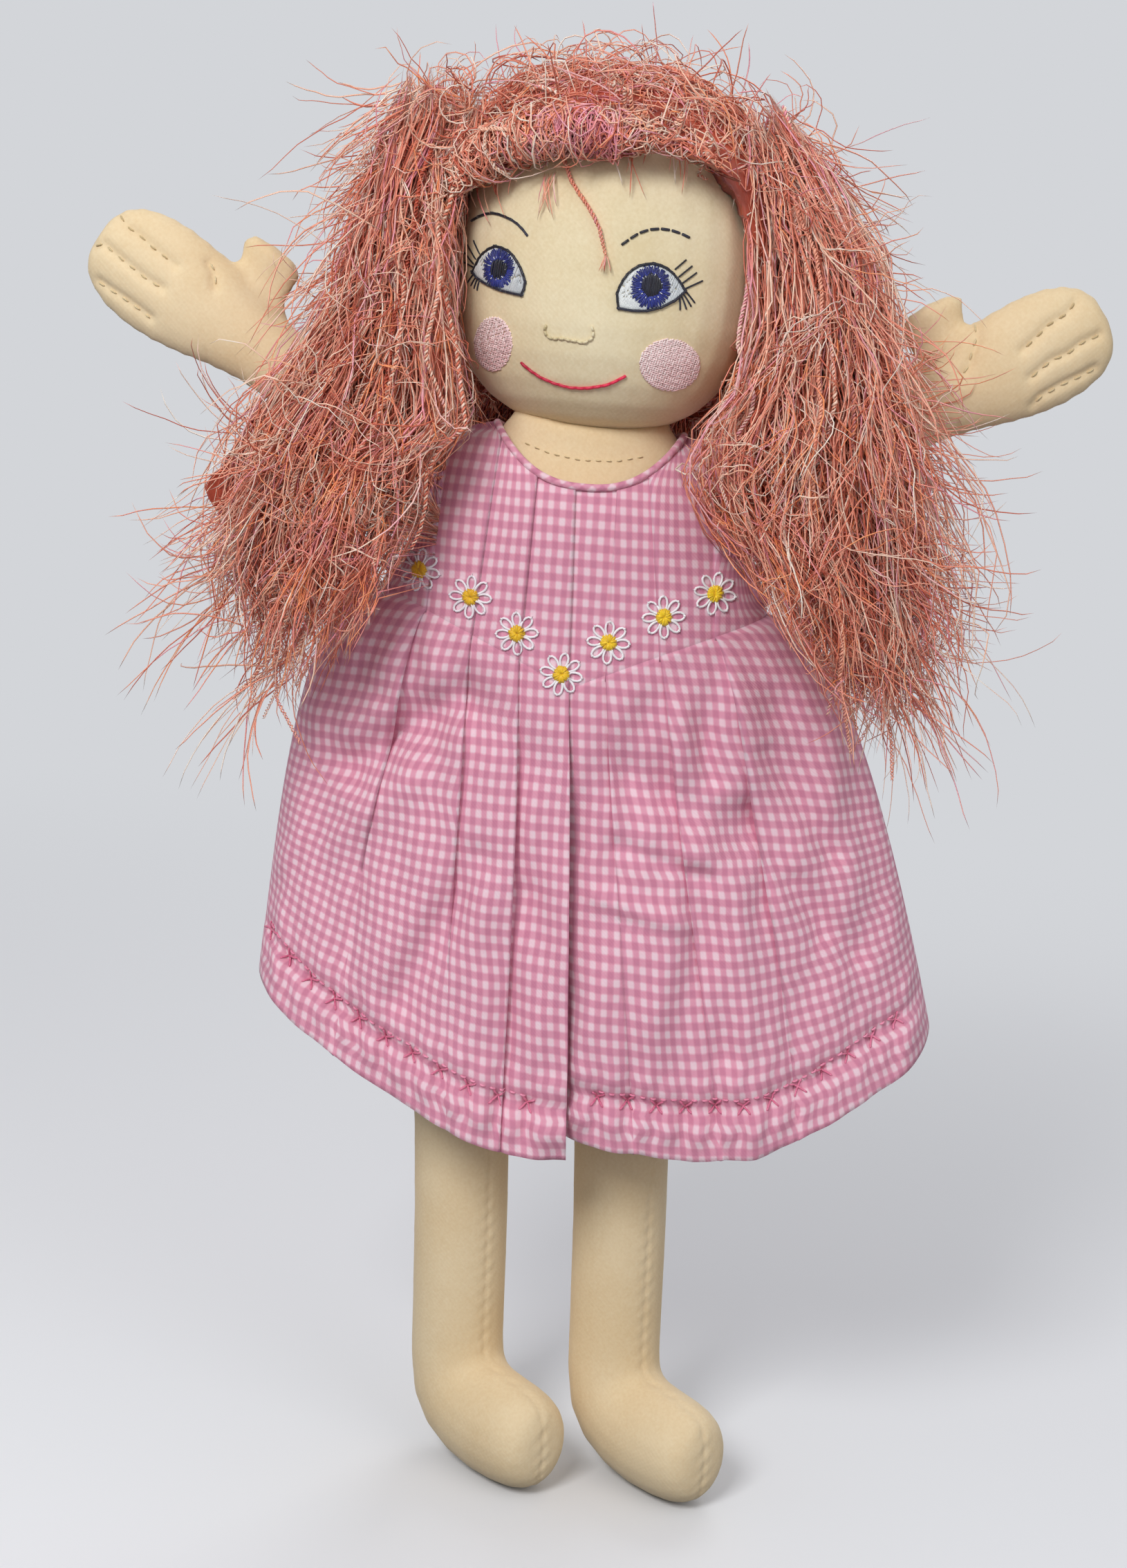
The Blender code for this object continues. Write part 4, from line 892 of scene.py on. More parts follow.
def cloth_sheet(name, points, gores, middles, ups):
    """A sheet of cloth through a grid of points. The check keeps its size in every gore, whose
    middle has the place across the flat cloth that is given for it."""
    columns, rows = points.shape[0] - 1, points.shape[1] - 1
    steps = np.linalg.norm(np.diff(points, axis=0), axis=2)
    across = np.concatenate([np.zeros((1, rows + 1)), np.cumsum(steps, axis=0)])
    bm = bmesh.new()
    bmesh.ops.create_grid(bm, x_segments=columns, y_segments=rows, size=0.5)
    cell = {v: (round((v.co.x + 0.5) * columns), round((v.co.y + 0.5) * rows)) for v in bm.verts}
    starts = np.concatenate([[0], np.cumsum(gores)])
    flat = bm.loops.layers.uv.new("cloth")
    for face in bm.faces:
        column = min(cell[v][0] for v in face.verts)
        gore = int(np.searchsorted(starts, column, side="right")) - 1
        first, last = starts[gore], starts[gore + 1]
        for loop in face.loops:
            i, j = cell[loop.vert]
            here = across[i, j] - (across[first, j] + across[last, j]) / 2
            loop[flat].uv = (middles[gore] + here, ups[i, j])
    for vertex in bm.verts:
        vertex.co = points[cell[vertex]]
    piece = new_piece(name, bm)
    piece.data.shade_smooth()
    return piece


def thick_cloth(piece, way):
    """Turn a sheet's face out and give it its thickness inwards."""
    mesh = piece.data
    if sum(p.normal.y * p.area for p in mesh.polygons) * way < 0:
        mesh.flip_normals()
    shell = piece.modifiers.new("cloth", "SOLIDIFY")
    shell.thickness = CLOTH
    shell.offset = -1.0
    return piece


def gingham(name):
    """Woven gingham: dyed and white yarns cross, so the eye sees white, mid and deep squares
    with soft edges on a matt cloth that shades a little deeper in its folds."""
    material, tree, shader = new_material(name, 0.85, 0.15)
    shader.inputs["Subsurface Weight"].default_value = 0.25
    shader.inputs["Subsurface Radius"].default_value = (1.0, 0.45, 0.55)
    shader.inputs["Subsurface Scale"].default_value = CLOTH
    flat = add_node(tree, "ShaderNodeUVMap", {"uv_map": "cloth"}).outputs[0]
    sway = add_node(tree, "ShaderNodeTexNoise", {"Scale": 90.0, "Detail": 1.0}, {0: flat})
    sway = add_node(tree, "ShaderNodeVectorMath", {"operation": "MULTIPLY_ADD", 1: (0.0006,) * 3,
                                                   2: (-0.0003,) * 3}, {0: sway.outputs["Color"]})
    place = add_node(tree, "ShaderNodeVectorMath", {"operation": "ADD"}, {0: flat, 1: sway.outputs[0]})
    axes = add_node(tree, "ShaderNodeSeparateXYZ", None, {0: place.outputs[0]}).outputs
    stripes = []
    for axis, pitch in ((0, CHECK_ACROSS), (1, CHECK_UP)):
        turns = add_node(tree, "ShaderNodeMath", {"operation": "MULTIPLY", 1: 2 * math.pi / pitch},
                         {0: axes[axis]})
        wave = add_node(tree, "ShaderNodeMath", {"operation": "SINE"}, {0: turns.outputs[0]})
        band = add_node(tree, "ShaderNodeMapRange", {"interpolation_type": "SMOOTHSTEP",
                                                     1: -2 * CHECK_EDGE, 2: 2 * CHECK_EDGE},
                                                     {0: wave.outputs[0]})
        stripes.append(band.outputs[0])
    dyed = add_node(tree, "ShaderNodeMath", {"operation": "ADD"}, {0: stripes[0], 1: stripes[1]})
    cloud = add_node(tree, "ShaderNodeTexNoise", {"Scale": 260.0, "Detail": 3.0}, {0: flat})
    uneven = add_node(tree, "ShaderNodeMath", {"operation": "MULTIPLY_ADD", 1: 0.24, 2: -0.12},
                      {0: cloud.outputs["Fac"]})
    dyed = add_node(tree, "ShaderNodeMath", {"operation": "MULTIPLY_ADD", 1: 0.5},
                    {0: dyed.outputs[0], 2: uneven.outputs[0]})
    colour = colour_ramp(tree, dyed.outputs[0], (0.0, GINGHAM_WHITE), (0.5, GINGHAM_PINK),
                         (1.0, GINGHAM_DEEP))
    weave = plain_weave(tree, axes[0], axes[1], GINGHAM_PITCH)
    surface(tree, shader, colour, weave, 0.7, GINGHAM_RELIEF)
    return material


def row_heights(grid, hem):
    """Place of each point up the flat cloth: level at the yoke, along the hem lower down."""
    drop = np.linspace(0, 1, grid.shape[1])[None, :]
    lift = grid[:, -1:, 2] - min(h for _, h in hem)
    return grid[:, :, 2] - 0.75 * lift * eased(drop, 0.35, 1.0)


gingham_cloth = gingham("pink gingham cotton")
side_lines = ((-1.0, -1.0, None), (1.0, 1.0, None))
fold_lines = [(fold[1], fold[2], fold) for fold in FOLDS]
halves = {"right": ([side_lines[0]] + fold_lines[:4], HEM_RIGHT, 0.0, 3),
          "left": ([(UNDERLAP_SHARE, UNDERLAP_SHARE, None)] + fold_lines[4:] + [side_lines[1]], HEM_LEFT,
                   1.0, 12)}
SKIRT_GORES = (SKIRT_COLUMNS, 1) * 3 + (SKIRT_COLUMNS,)
skirt_halves = {}
yoke_middles = []
for word, (lines, hem, under, skip) in halves.items():
    grid = pleated_grid(lines, SKIRT_COLUMNS, SKIRT_ROWS, lambda s, t: skirt_place(s, t, hem, under),
                        fold_open)
    swell = np.concatenate([np.sin(np.linspace(0, math.pi, SKIRT_COLUMNS + 1))] * 4)[:, None]
    grid[:, :, 1] -= GORE_SWELL * swell * np.linspace(0, 1, SKIRT_ROWS + 1)
    pinches = frill(grid, skip)
    middles = gore_middles(grid, SKIRT_GORES, SKIRT_ROWS)
    heights = row_heights(grid, hem)
    skirt = thick_cloth(cloth_sheet("skirt_front_cloth_" + word, grid, SKIRT_GORES, middles, heights), -1)
    finish(skirt, gingham_cloth, "gingham", "skirt_front_" + word)
    skirt_halves[word] = (skirt, pinches)
    starts = [k * (SKIRT_COLUMNS + 1) for k in range(4)]
    yoke_middles += [(across, (grid[a, 0, 0] + grid[a + SKIRT_COLUMNS, 0, 0]) / 2)
                     for across, a in zip(middles[::2], starts)]

yoke_lines = [(YOKE_HALF_WIDTH * math.sin(math.pi / 2 * fold[1]), fold[0] / 1000, fold) for fold in FOLDS]
yoke_lines = [(-YOKE_HALF_WIDTH,) * 2 + (None,), *yoke_lines, (YOKE_HALF_WIDTH,) * 2 + (None,)]
yoke_grid = pleated_grid(yoke_lines, YOKE_COLUMNS, YOKE_ROWS, yoke_place,
                         lambda fold, up: (TUCK_DEPTH, TUCK_OVERLAP))
YOKE_GORES = (YOKE_COLUMNS, 1) * 7 + (YOKE_COLUMNS,)
middles = []
for gore, (across, x) in enumerate(yoke_middles):
    first = gore * (YOKE_COLUMNS + 1)
    middle_x = (yoke_grid[first, 0, 0] + yoke_grid[first + YOKE_COLUMNS, 0, 0]) / 2
    middles += [across + middle_x - x] * 2
yoke = thick_cloth(cloth_sheet("yoke_cloth", yoke_grid, YOKE_GORES, middles[:-1], yoke_grid[:, :, 2]), -1)
finish(yoke, gingham_cloth, "gingham", "dress_yoke")
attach(yoke, "torso")


# The back is two panels cut in one from neck to hem, gathered a little, that meet at a buttoned
# opening. They carry the dress on the shoulders with the yoke.
BACK_NECKLINE_Z = 0.3430
BACK_HEM_Z = 0.1400
BACK_SIDE_HEM_Z = 0.1640
BACK_FOLDS = (0.0, 0.20, 0.42, 0.66, 1.0)
BACK_WAVE = 0.0045
BACK_ROWS = 110
BACK_COLUMNS = 22


def back_cloth(share, down):
    """A point of the back, down running from its top edge to its hem."""
    across = math.sin(math.pi / 2 * share)
    high = dress_top(YOKE_HALF_WIDTH * across, BACK_NECKLINE_Z) - GAP
    low = BACK_HEM_Z + (BACK_SIDE_HEM_Z - BACK_HEM_Z) * abs(share) ** 2.2
    z = high - down * (high - low)
    x = seam_middle(z) + seam_half_width(z) * across
    depth = dress_depth(z, BACK_HEM_DEPTH, YOKE_HALF_WIDTH * across)
    opened = float(eased(z, 0.330, 0.170)) if z < 0.330 else 0.0
    place = float(np.interp(abs(share), BACK_FOLDS, range(len(BACK_FOLDS))))
    wave = BACK_WAVE * opened * (0.5 - 0.5 * math.cos(2 * math.pi * place))
    return np.array([x, dress_stand(across, depth) - wave * (1 - abs(share) ** 3), z])


for word, ends in (("right", (-1.0, -0.003)), ("left", (0.003, 1.0))):
    shares = np.linspace(*ends, 4 * BACK_COLUMNS + 1)
    grid = np.array([[back_cloth(s, j / BACK_ROWS) for j in range(BACK_ROWS + 1)] for s in shares])
    frill(grid, 6, -1)
    middles = gore_middles(grid, (4 * BACK_COLUMNS,), BACK_ROWS)
    back = thick_cloth(cloth_sheet("back_cloth_" + word, grid, (4 * BACK_COLUMNS,), middles, grid[:, :, 2]),
                       1)
    finish(back, gingham_cloth, "gingham", "dress_back_" + word)
    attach(back, "torso")


# The dress's hand stitching is in two threads. Crossed pink stitches hold the frill's gathers
# under a line of running stitch, and seven daisies of looped white petals follow the yoke's V.
CROSS_WIDTH = 0.0042
CROSS_HEIGHT = 0.0046
TRIM_THREAD = 0.00036
TRIM_PINK = ("#f59fbb", "#d8668b")
TRIM_RISE = 0.0004
DAISY_PLACES = ((-49.9, 302.8), (-32.9, 296.3), (-17.4, 286.4), (-2.5, 275.0), (11.3, 286.1), (27.8, 295.4),
                (43.3, 303.7))
PETALS = 8
PETAL_START = 0.0019
PETAL_END = 0.0066
PETAL_HALF_WIDTH = 0.0015
PETAL_THREAD = 0.00040
DAISY_MIDDLE = 0.0026
YELLOW = ("#ffdc22", "#dda40c")
DAISY_WHITE = ("#ffffff", "#efe4ec")


def on_cloth(trees, x, z, rise):
    """The nearest place of the dress's front behind a point, raised off the cloth."""
    best = None
    for tree in trees:
        place, normal, _, _ = tree.ray_cast(Vector((x, -1, z)), Vector((0, 1, 0)))
        if place is not None and (best is None or place.y < best[0].y):
            best = (place, normal)
    if best is None:
        place, normal, _, _ = trees[0].find_nearest(Vector((x, -0.05, z)))
        best = (place, normal)
    place, normal = best
    return place + (normal if normal.y < 0 else -normal) * rise


def unit(ways):
    """Each way at length 1."""
    return ways / np.linalg.norm(ways, axis=-1, keepdims=True)


trim_pink = thread("pink trimming cotton", TRIM_PINK)
yellow_thread = thread("yellow stranded cotton", YELLOW)
daisy_thread = thread("white pearl cotton", DAISY_WHITE)
skirt_trees = {word: skin_tree(piece) for word, (piece, _) in skirt_halves.items()}
for word, (piece, pinches) in skirt_halves.items():
    lay = lambda x, z, rise: on_cloth([skirt_trees[word]], x, z, rise)
    ways = unit(np.gradient(pinches, axis=0))
    ends = []
    for place, way in zip(pinches, ways):
        up = np.array([-way[1], way[0]])
        for lean in (-1, 1):
            reach = lean * CROSS_WIDTH / 2 * way + CROSS_HEIGHT / 2 * up
            ends.append((place - reach, place + reach))
    crosses = embroider(ends, TRIM_RISE, rng, lay)
    crosses += running_stitch(pinches + [0, 0.0026], 0.0022, 0.0012, lay, TRIM_RISE)
    crosses = thread_mesh("hem_stitches_" + word, crosses, TRIM_THREAD)
    finish(crosses, trim_pink, "piping")
    for part in (piece, crosses):
        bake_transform(part)


def daisy(x, z, turn, lay):
    """The petals' loops, each tied down at its tip by a short stitch."""
    threads = []
    for petal in range(PETALS):
        angle = turn + 2 * math.pi * petal / PETALS
        out = np.array([math.cos(angle), math.sin(angle)])
        aside = np.array([-out[1], out[0]])
        loop = []
        for i in range(13):
            around = 2 * math.pi * i / 12
            reach = PETAL_START + (PETAL_END - PETAL_START) * (0.5 - 0.5 * math.cos(around))
            spread = PETAL_HALF_WIDTH * math.sin(around) * (0.55 + 0.45 * (reach / PETAL_END))
            place = np.array([x, z]) + reach * out + spread * aside
            loop.append(lay(*place, TRIM_RISE))
        threads.append(loop)
        tip = np.array([x, z]) + PETAL_END * out
        threads.append([lay(*(tip + s * 0.0007 * out), r) for s, r in ((-1, 0), (0, 0.0009), (1, 0))])
    return threads


fronts = [skin_tree(yoke), skirt_trees["right"], skirt_trees["left"]]
lay = lambda x, z, rise: on_cloth(fronts, x, z, rise)
petals, middles = [], []
for number, (x, z) in enumerate(millimetres(DAISY_PLACES)):
    turn = math.pi / 2 + 0.12 * (number % 3 - 1)
    petals += daisy(x, z, turn, lay)
    centre = spokes(1000 * x, 1000 * z, 0.05, 1.0, 1000 * DAISY_MIDDLE, 1000 * DAISY_MIDDLE, 22, rng)
    middles += embroider(centre, 0.0009, rng, lay)
petals = thread_mesh("daisy_petals", petals, PETAL_THREAD)
finish(petals, daisy_thread, "white_thread", *("daisy_%d" % i for i in range(1, 8)))
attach(petals, "torso")
middles = thread_mesh("daisy_middles", middles, PETAL_THREAD)
finish(middles, yellow_thread, "white_thread")
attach(middles, "torso")


# Narrow bias binding of the same gingham covers the cut edges at the neck and the armholes.
BINDING = 0.0012
BINDING_SIDES = 8
BINDING_STEP = 0.0012


def back_edge(offset):
    """A point of the cut edge at the back."""
    z = dress_top(offset, BACK_NECKLINE_Z)
    depth = dress_depth(z, BACK_HEM_DEPTH, offset)
    return np.array([offset, dress_stand(offset / YOKE_HALF_WIDTH, depth), z])


def front_edge(offset):
    """A point of the cut edge at the front."""
    return yoke_point(offset, dress_top(offset, NECKLINE_Z))


def binding(name, points):
    """A bias strip rolled over an edge, with the check running slantwise on it."""
    line = walk(points, BINDING_STEP)
    piece = thread_mesh(name, [line], BINDING, BINDING_SIDES)
    mesh = piece.data
    flat = mesh.uv_layers.new(name="cloth")
    along = mesh.attributes["along"].data
    length = BINDING_STEP * len(line)
    for polygon in mesh.polygons:
        for corner in polygon.loop_indices:
            spot = mesh.vertices[mesh.loops[corner].vertex_index]
            run = along[spot.index].value * length
            side = spot.normal.z * BINDING
            flat.data[corner].uv = (0.707 * (run + side), 0.707 * (run - side))
    finish(piece, gingham_cloth, "piping", name.replace("_cloth", ""))
    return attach(piece, "torso")


lift = np.array([0, 0, BINDING / 2])
reach = NECKLINE_HALF_WIDTH
neckline = [back_edge(x) + lift for x in np.linspace(0.002, reach, 9)]
neckline += [front_edge(x) + lift for x in np.linspace(reach, -reach, 33)]
neckline += [back_edge(x) + lift for x in np.linspace(-reach, -0.002, 9)]
binding("neck_piping_cloth", neckline)
for side, word in ((1, "left"), (-1, "right")):
    aside = np.array([side * BINDING / 2, 0, 0])
    places = np.linspace(STRAP_OUTER_X, YOKE_HALF_WIDTH - 0.0003, 17)
    points = [front_edge(side * x) + aside for x in places]
    points += [back_edge(side * x) + aside for x in places[::-1]]
    binding("armhole_piping_%s_cloth" % word, points)


# The buttons are small pearly shirt buttons of cast polyester, sewn on the back opening.
PEARL_LIGHT = "#f6e4e6"
PEARL_SHADE = "#dcb9c2"

pearl, tree, shader = new_material("cast polyester pearl", 0.22)
place = add_node(tree, "ShaderNodeTexCoord").outputs["Object"]
swirl = add_node(tree, "ShaderNodeTexNoise", {"Scale": 260.0, "Detail": 2.0, "Distortion": 1.5}, {0: place})
colour = colour_ramp(tree, swirl.outputs["Fac"], (0.0, PEARL_SHADE), (1.0, PEARL_LIGHT))
tree.links.new(colour, shader.inputs["Base Color"])
shader.inputs["Coat Weight"].default_value = 0.5
for name in ("button_upper", "button_lower"):
    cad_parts[name].data.materials.clear()
    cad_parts[name].data.materials.append(pearl)


# The hair is rayon eyelash yarn in salmon, peach, rose and orange: a chained core with long loose
# lashes. It is sewn over the crown in loops, and hangs in two bunches and down the back. The two
# bunches come first, each a dense inside, long locks, chained yarns, frayed lashes and fine frizz.
YARN = 0.00030
LASH_YARN = 0.00025
PLY_YARN = 0.00042
PLY_TURN = 0.0023            # length of one turn of two plies round each other
PLY_RADIUS = 0.00045
# The darkest stops are painted shade, used by the hair's dense insides and its deeper locks. The palest stops
# are partly the yarn's own pale dye and partly painted highlight.
YARN_COLOURS = ((0.00, "#8f3626"), (0.12, "#cf6248"), (0.30, "#f08f72"), (0.46, "#fbab90"),
                (0.60, "#ffc5a8"), (0.72, "#ffe2cc"), (0.80, "#f4a0b2"), (0.90, "#ff9a5c"), (1.00, "#fff0e0"))
YARN_STREAK = 1300.0
YARN_RELIEF = 0.0003
LOCK_STEPS = 17
LASH_STEPS = 11
TUFT_STRANDS = 13
LOCK_TOPS = (0.400, 0.456)
LOCK_COUNT = 84
LOCK_STRANDS = 7
PLY_TOPS = (0.410, 0.450)
PLY_COUNT = 30
PLY_CLEARANCE = 0.0014
LASH_SPAN = (0.300, 0.455)
LASH_COUNT = 3000
FLYAWAY_COUNT = 90
FRIZZ_SPAN = (0.285, 0.452)
FRIZZ_COUNT = 1700
FRIZZ_LENGTHS = (0.012, 0.042)
FRIZZ_SPREAD = 1.7
FRIZZ_BEND = 2.2
SCALP_SINK = 0.0066
BUNCH_SINK = 0.0090
CORE_MESH = 0.0022
CORE_ROUNDS = 6
CORE_END_Z = 0.3300           # below this the inside shrinks to a stump and only strands hang on
CORE_TIP = 0.35
CLEARANCE = 0.0008
DOWN = np.array([0.0, 0.0, -1.0])
FREE_DEPTH = 0.0455
PRESSED = 0.0100
FACE_MARGIN = 0.0030
STRAY_SHARE = 0.0             # how many of the strands that would cross the face are kept
OUTER_RIGHT = ((446, -72), (415, -77.6), (387, -81.7), (372, -88), (348, -105), (323, -110), (303, -112),
               (285, -103), (262, -98), (251, -85))
INNER_RIGHT = ((446, -40), (422, -46.5), (382, -44.5), (364, -38), (350, -33), (339.5, -45), (325, -49.5),
               (307, -57), (295, -60), (271, -72.6), (253, -79))
OUTER_LEFT = ((461, 49), (435, 66), (410, 84), (375, 92), (357, 100), (338, 106), (317, 110), (300, 113),
              (286, 106), (257, 96))
INNER_LEFT = ((461, 30), (440, 41), (390, 45), (366, 41), (354, 32), (341, 30), (323, 39.5), (309.5, 54),
              (296, 65), (277, 80), (258, 91.5))
BUNCH_MIDDLE = ((460, -4), (446, -8), (425, -15), (400, -21), (375, -27), (350, -31), (330, -33), (300, -33),
                (250, -32))
BUNCH_HALF_DEPTH = ((460, 5), (446, 8), (425, 12), (400, 14), (350, 14), (300, 13), (250, 8))


def yarn_material(name):
    """Rayon yarn: each strand keeps its own colour, with a silky shine and darker streaks along it. The
    colours are the dye, but for painted shade in the darkest tones and painted highlight in part of the
    palest.
    """
    material, tree, shader = new_material(name, 0.30, 0.1)
    tone = add_node(tree, "ShaderNodeAttribute", {"attribute_name": "tone"}).outputs["Fac"]
    place = add_node(tree, "ShaderNodeTexCoord").outputs["Object"]
    drift = add_node(tree, "ShaderNodeTexNoise", {"Scale": 60.0, "Detail": 3.0}, {0: place})
    mixed = add_node(tree, "ShaderNodeMath", {"operation": "MULTIPLY_ADD", 1: 0.30, 2: -0.15},
                     {0: drift.outputs["Fac"]})
    stretched = add_node(tree, "ShaderNodeMapping", {"Scale": (1.0, 1.0, 0.12)}, {0: place})
    streak = add_node(tree, "ShaderNodeTexNoise", {"Scale": YARN_STREAK, "Detail": 2.0},
                      {0: stretched.outputs[0]})
    mixed = add_node(tree, "ShaderNodeMath", {"operation": "ADD", "use_clamp": True},
                     {0: tone, 1: mixed.outputs[0]})
    colour = colour_ramp(tree, mixed.outputs[0], *YARN_COLOURS)
    surface(tree, shader, colour, streak.outputs["Fac"], 0.5, YARN_RELIEF)
    return material


def matted_core(name, sink, tone, *nodes):
    """The dense inside of a mass of hair, smaller than its CAD solid, in one dark tone that is painted shade:
    the deep shadow among the strands.
    """
    core = stuffed(name, nodes[0], CORE_MESH, CORE_ROUNDS)
    press(core, np.full(len(core.data.vertices), sink))
    spots, _ = skin_points(core)
    spots[:, 2] += (1 - CORE_TIP) * np.clip(CORE_END_Z - spots[:, 2], 0, 1)
    move_points(core, spots)
    # The whole inside takes one dark tone as painted shade.
    painted_shade = core.data.attributes.new("tone", "FLOAT", "POINT")
    painted_shade.data.foreach_set("value", np.full(len(core.data.vertices), tone, np.float32))
    finish(core, rayon, "yarn", *nodes)
    return core


def wander(rng, count, bends, size):
    """A soft random sway along a strand, from nothing at its root."""
    knots = np.concatenate([[0], rng.uniform(-1, 1, bends)])
    line = np.interp(np.linspace(0, bends, count), range(bends + 1), knots)
    line[1:-1] = (line[:-2] + 2 * line[1:-1] + line[2:]) / 4
    return size * line


def clear_of(points, trees, clearance=CLEARANCE):
    """Move points that lie in a stuffed piece or behind the cloth out to its face."""
    for i, point in enumerate(points):
        for tree in trees:
            place, normal, _, off = tree.find_nearest(Vector(point), 0.03)
            if place is not None and (Vector(point) - place).dot(normal) < clearance:
                points[i] = place + normal * clearance
                point = points[i]
    return points


def table_at(table, z):
    """A width or a depth at a height, both in metres, from a table in mm."""
    heights, values = zip(*table[::-1])
    return np.interp(1000 * z, heights, values) / 1000


def kept_in_depth(strands):
    """Press strands that stand far out in front or behind flat, as on a doll kept in a box."""
    for points in strands:
        y = points[:, 1]
        over = np.clip(np.abs(y) - FREE_DEPTH, 0, 1)
        points[:, 1] = np.sign(y) * (np.minimum(np.abs(y), FREE_DEPTH) + PRESSED * np.tanh(over / PRESSED))
    return strands


def off_face(strands, inner, side, rng):
    """Leave out the strands that would cross the face or the yoke, but for a share."""
    kept = []
    for points in strands:
        inside = side * (points[:, 0] - table_at(inner, points[:, 2])) < -FACE_MARGIN
        if not (inside & (points[:, 2] < 0.430)).any() or rng.uniform() < STRAY_SHARE:
            kept.append(points)
    return kept


def strand_tones(rng, count, orange=0.10):
    """Each strand's tone: mostly salmon, with some rose, orange and pale ends. The pale ends are partly the
    yarn's own pale dye and partly painted highlight.
    """
    chances = np.array([0.12, 0.20, 0.18, 0.14, 0.13, 0.08, orange, 0.15])
    tones = rng.choice([0.14, 0.32, 0.46, 0.60, 0.71, 0.80, 0.89, 0.99], count, p=chances / chances.sum())
    return np.clip(tones + rng.uniform(-0.04, 0.04, count), 0, 1)


def strand_widths(rng, strands, size):
    """Each strand's radius along it, thinner towards its end."""
    widths = []
    for points in strands:
        share = np.linspace(0, 1, len(points))
        widths.append(size * rng.uniform(0.65, 1.25) * (1 - 0.5 * share ** 3))
    return widths


def loose_ends(rng, roots, ways, lengths, steps, weight, kink, curl, tufts=None):
    """Strands that leave their roots, bend and kink at random and turn down with their weight.
    Those of one tuft bend alike."""
    tufts = np.arange(len(roots)) if tufts is None else tufts
    turns = rng.normal(0, 1, (tufts.max() + 1, 4))
    axes = (unit(turns[:, :3]) * curl * turns[:, 3:])[tufts]
    points, ways = [roots], unit(ways)
    for i in range(1, steps):
        shared = rng.normal(0, 1, (tufts.max() + 1, 3))[tufts]
        ways = ways + weight * DOWN + np.cross(axes, ways)
        ways += kink * (0.75 * shared + 0.6 * rng.normal(0, 1, roots.shape))
        ways = unit(ways)
        points.append(points[-1] + ways * lengths[:, None] / (steps - 1))
    return np.stack(points, 1)


def plied(path):
    """Two plies wound round each other along a path."""
    line = walk(path, PLY_TURN / 5)
    along = unit(np.gradient(line, axis=0))
    aside = unit(np.cross(along, np.array([0.3, 1.0, 0.2])))
    above = np.cross(along, aside)
    turn = 2 * math.pi * np.arange(len(line)) / 5
    turns = [(turn + start)[:, None] for start in (0, math.pi)]
    return [line + PLY_RADIUS * (np.cos(t) * aside + np.sin(t) * above) for t in turns]


def locks(rng, outer, inner, middle, half_depth, front, tops, count, per_lock):
    """Long strands that hang in locks from the crown."""
    strands = []
    for _ in range(count):
        across, deep = rng.uniform(0.02, 0.98), rng.uniform(-1, 1)
        top, bottom = rng.uniform(*tops), rng.uniform(0.262, 0.325)
        sway_x, sway_y = wander(rng, LOCK_STEPS, 5, 0.011), wander(rng, LOCK_STEPS, 5, 0.007)
        for _ in range(per_lock):
            share = np.linspace(0, 1, LOCK_STEPS)
            z = np.linspace(top + rng.uniform(-0.006, 0.006), bottom + rng.uniform(-0.012, 0.020), LOCK_STEPS)
            near, far = table_at(inner, z), table_at(outer, z)
            x = near + (across + 0.12 * rng.normal() * share) * (far - near)
            x += sway_x * share + wander(rng, LOCK_STEPS, 9, 0.0052) + rng.normal(0, 0.006) * share ** 2
            y = table_at(middle, z) + front * deep * table_at(half_depth, z)
            y += sway_y * share + wander(rng, LOCK_STEPS, 9, 0.0044) + rng.normal(0, 0.004) * share ** 2
            strands.append(np.stack([x, y, z + wander(rng, LOCK_STEPS, 9, 0.0030)], 1))
    return strands


def lashes(rng, outer, inner, middle, half_depth, front, span, side, count, lengths=(0.022, 0.058),
           spread=1.0, bend=1.0):
    """Short frayed strands in tufts that start in the mass and fan out of it, more so lower down."""
    tufts = rng.randint(0, count // TUFT_STRANDS, count)
    seeds = rng.uniform(0, 1, (count // TUFT_STRANDS, 3))[tufts] + rng.normal(0, 0.025, (count, 3))
    z = span[0] + np.clip(seeds[:, 0], 0, 1) * (span[1] - span[0])
    across, deep = np.clip(0.5 + 0.92 * (seeds[:, 1] - 0.5), 0, 1), np.clip(1.9 * seeds[:, 2] - 0.9, -1, 1)
    near, far = table_at(inner, z), table_at(outer, z)
    x = near + 0.9 * across * (far - near)
    y = table_at(middle, z) + front * deep * table_at(half_depth, z)
    low = np.clip((0.375 - z) / 0.08, 0, 1)
    out = 0.18 + 0.25 * (across - 0.4) + 1.0 * low * np.clip(across - 0.35, 0, 1)
    ways = rng.normal(0, 1, (count // TUFT_STRANDS, 3))[tufts] + 0.45 * rng.normal(0, 1, (count, 3))
    ways = spread * ways * [0.50, 0.36, 0.40]
    ways += np.stack([side * out, front * 0.30 * deep, np.full(count, -1.0)], 1)
    return loose_ends(rng, np.stack([x, y, z], 1), ways, rng.uniform(*lengths, count), LASH_STEPS, 0.10,
                      0.15 * bend, 0.17 * bend, tufts)


def flyaways(rng, outer, side, count):
    """Single long strands that stand out from the side of a bunch."""
    z = rng.choice([rng.uniform(0.34, 0.40), rng.uniform(0.27, 0.34)], count)
    z = z + rng.uniform(-0.02, 0.02, count)
    x = table_at(outer, z) - side * rng.uniform(0.004, 0.016, count)
    roots = np.stack([x, rng.uniform(-0.042, -0.022, count), z], 1)
    ways = rng.normal(0, 1, (count, 3)) * [0.3, 0.3, 0.45] + [side * 0.9, -0.05, -0.55]
    return loose_ends(rng, roots, ways, rng.uniform(0.025, 0.062, count), LASH_STEPS, 0.10, 0.07, 0.12)


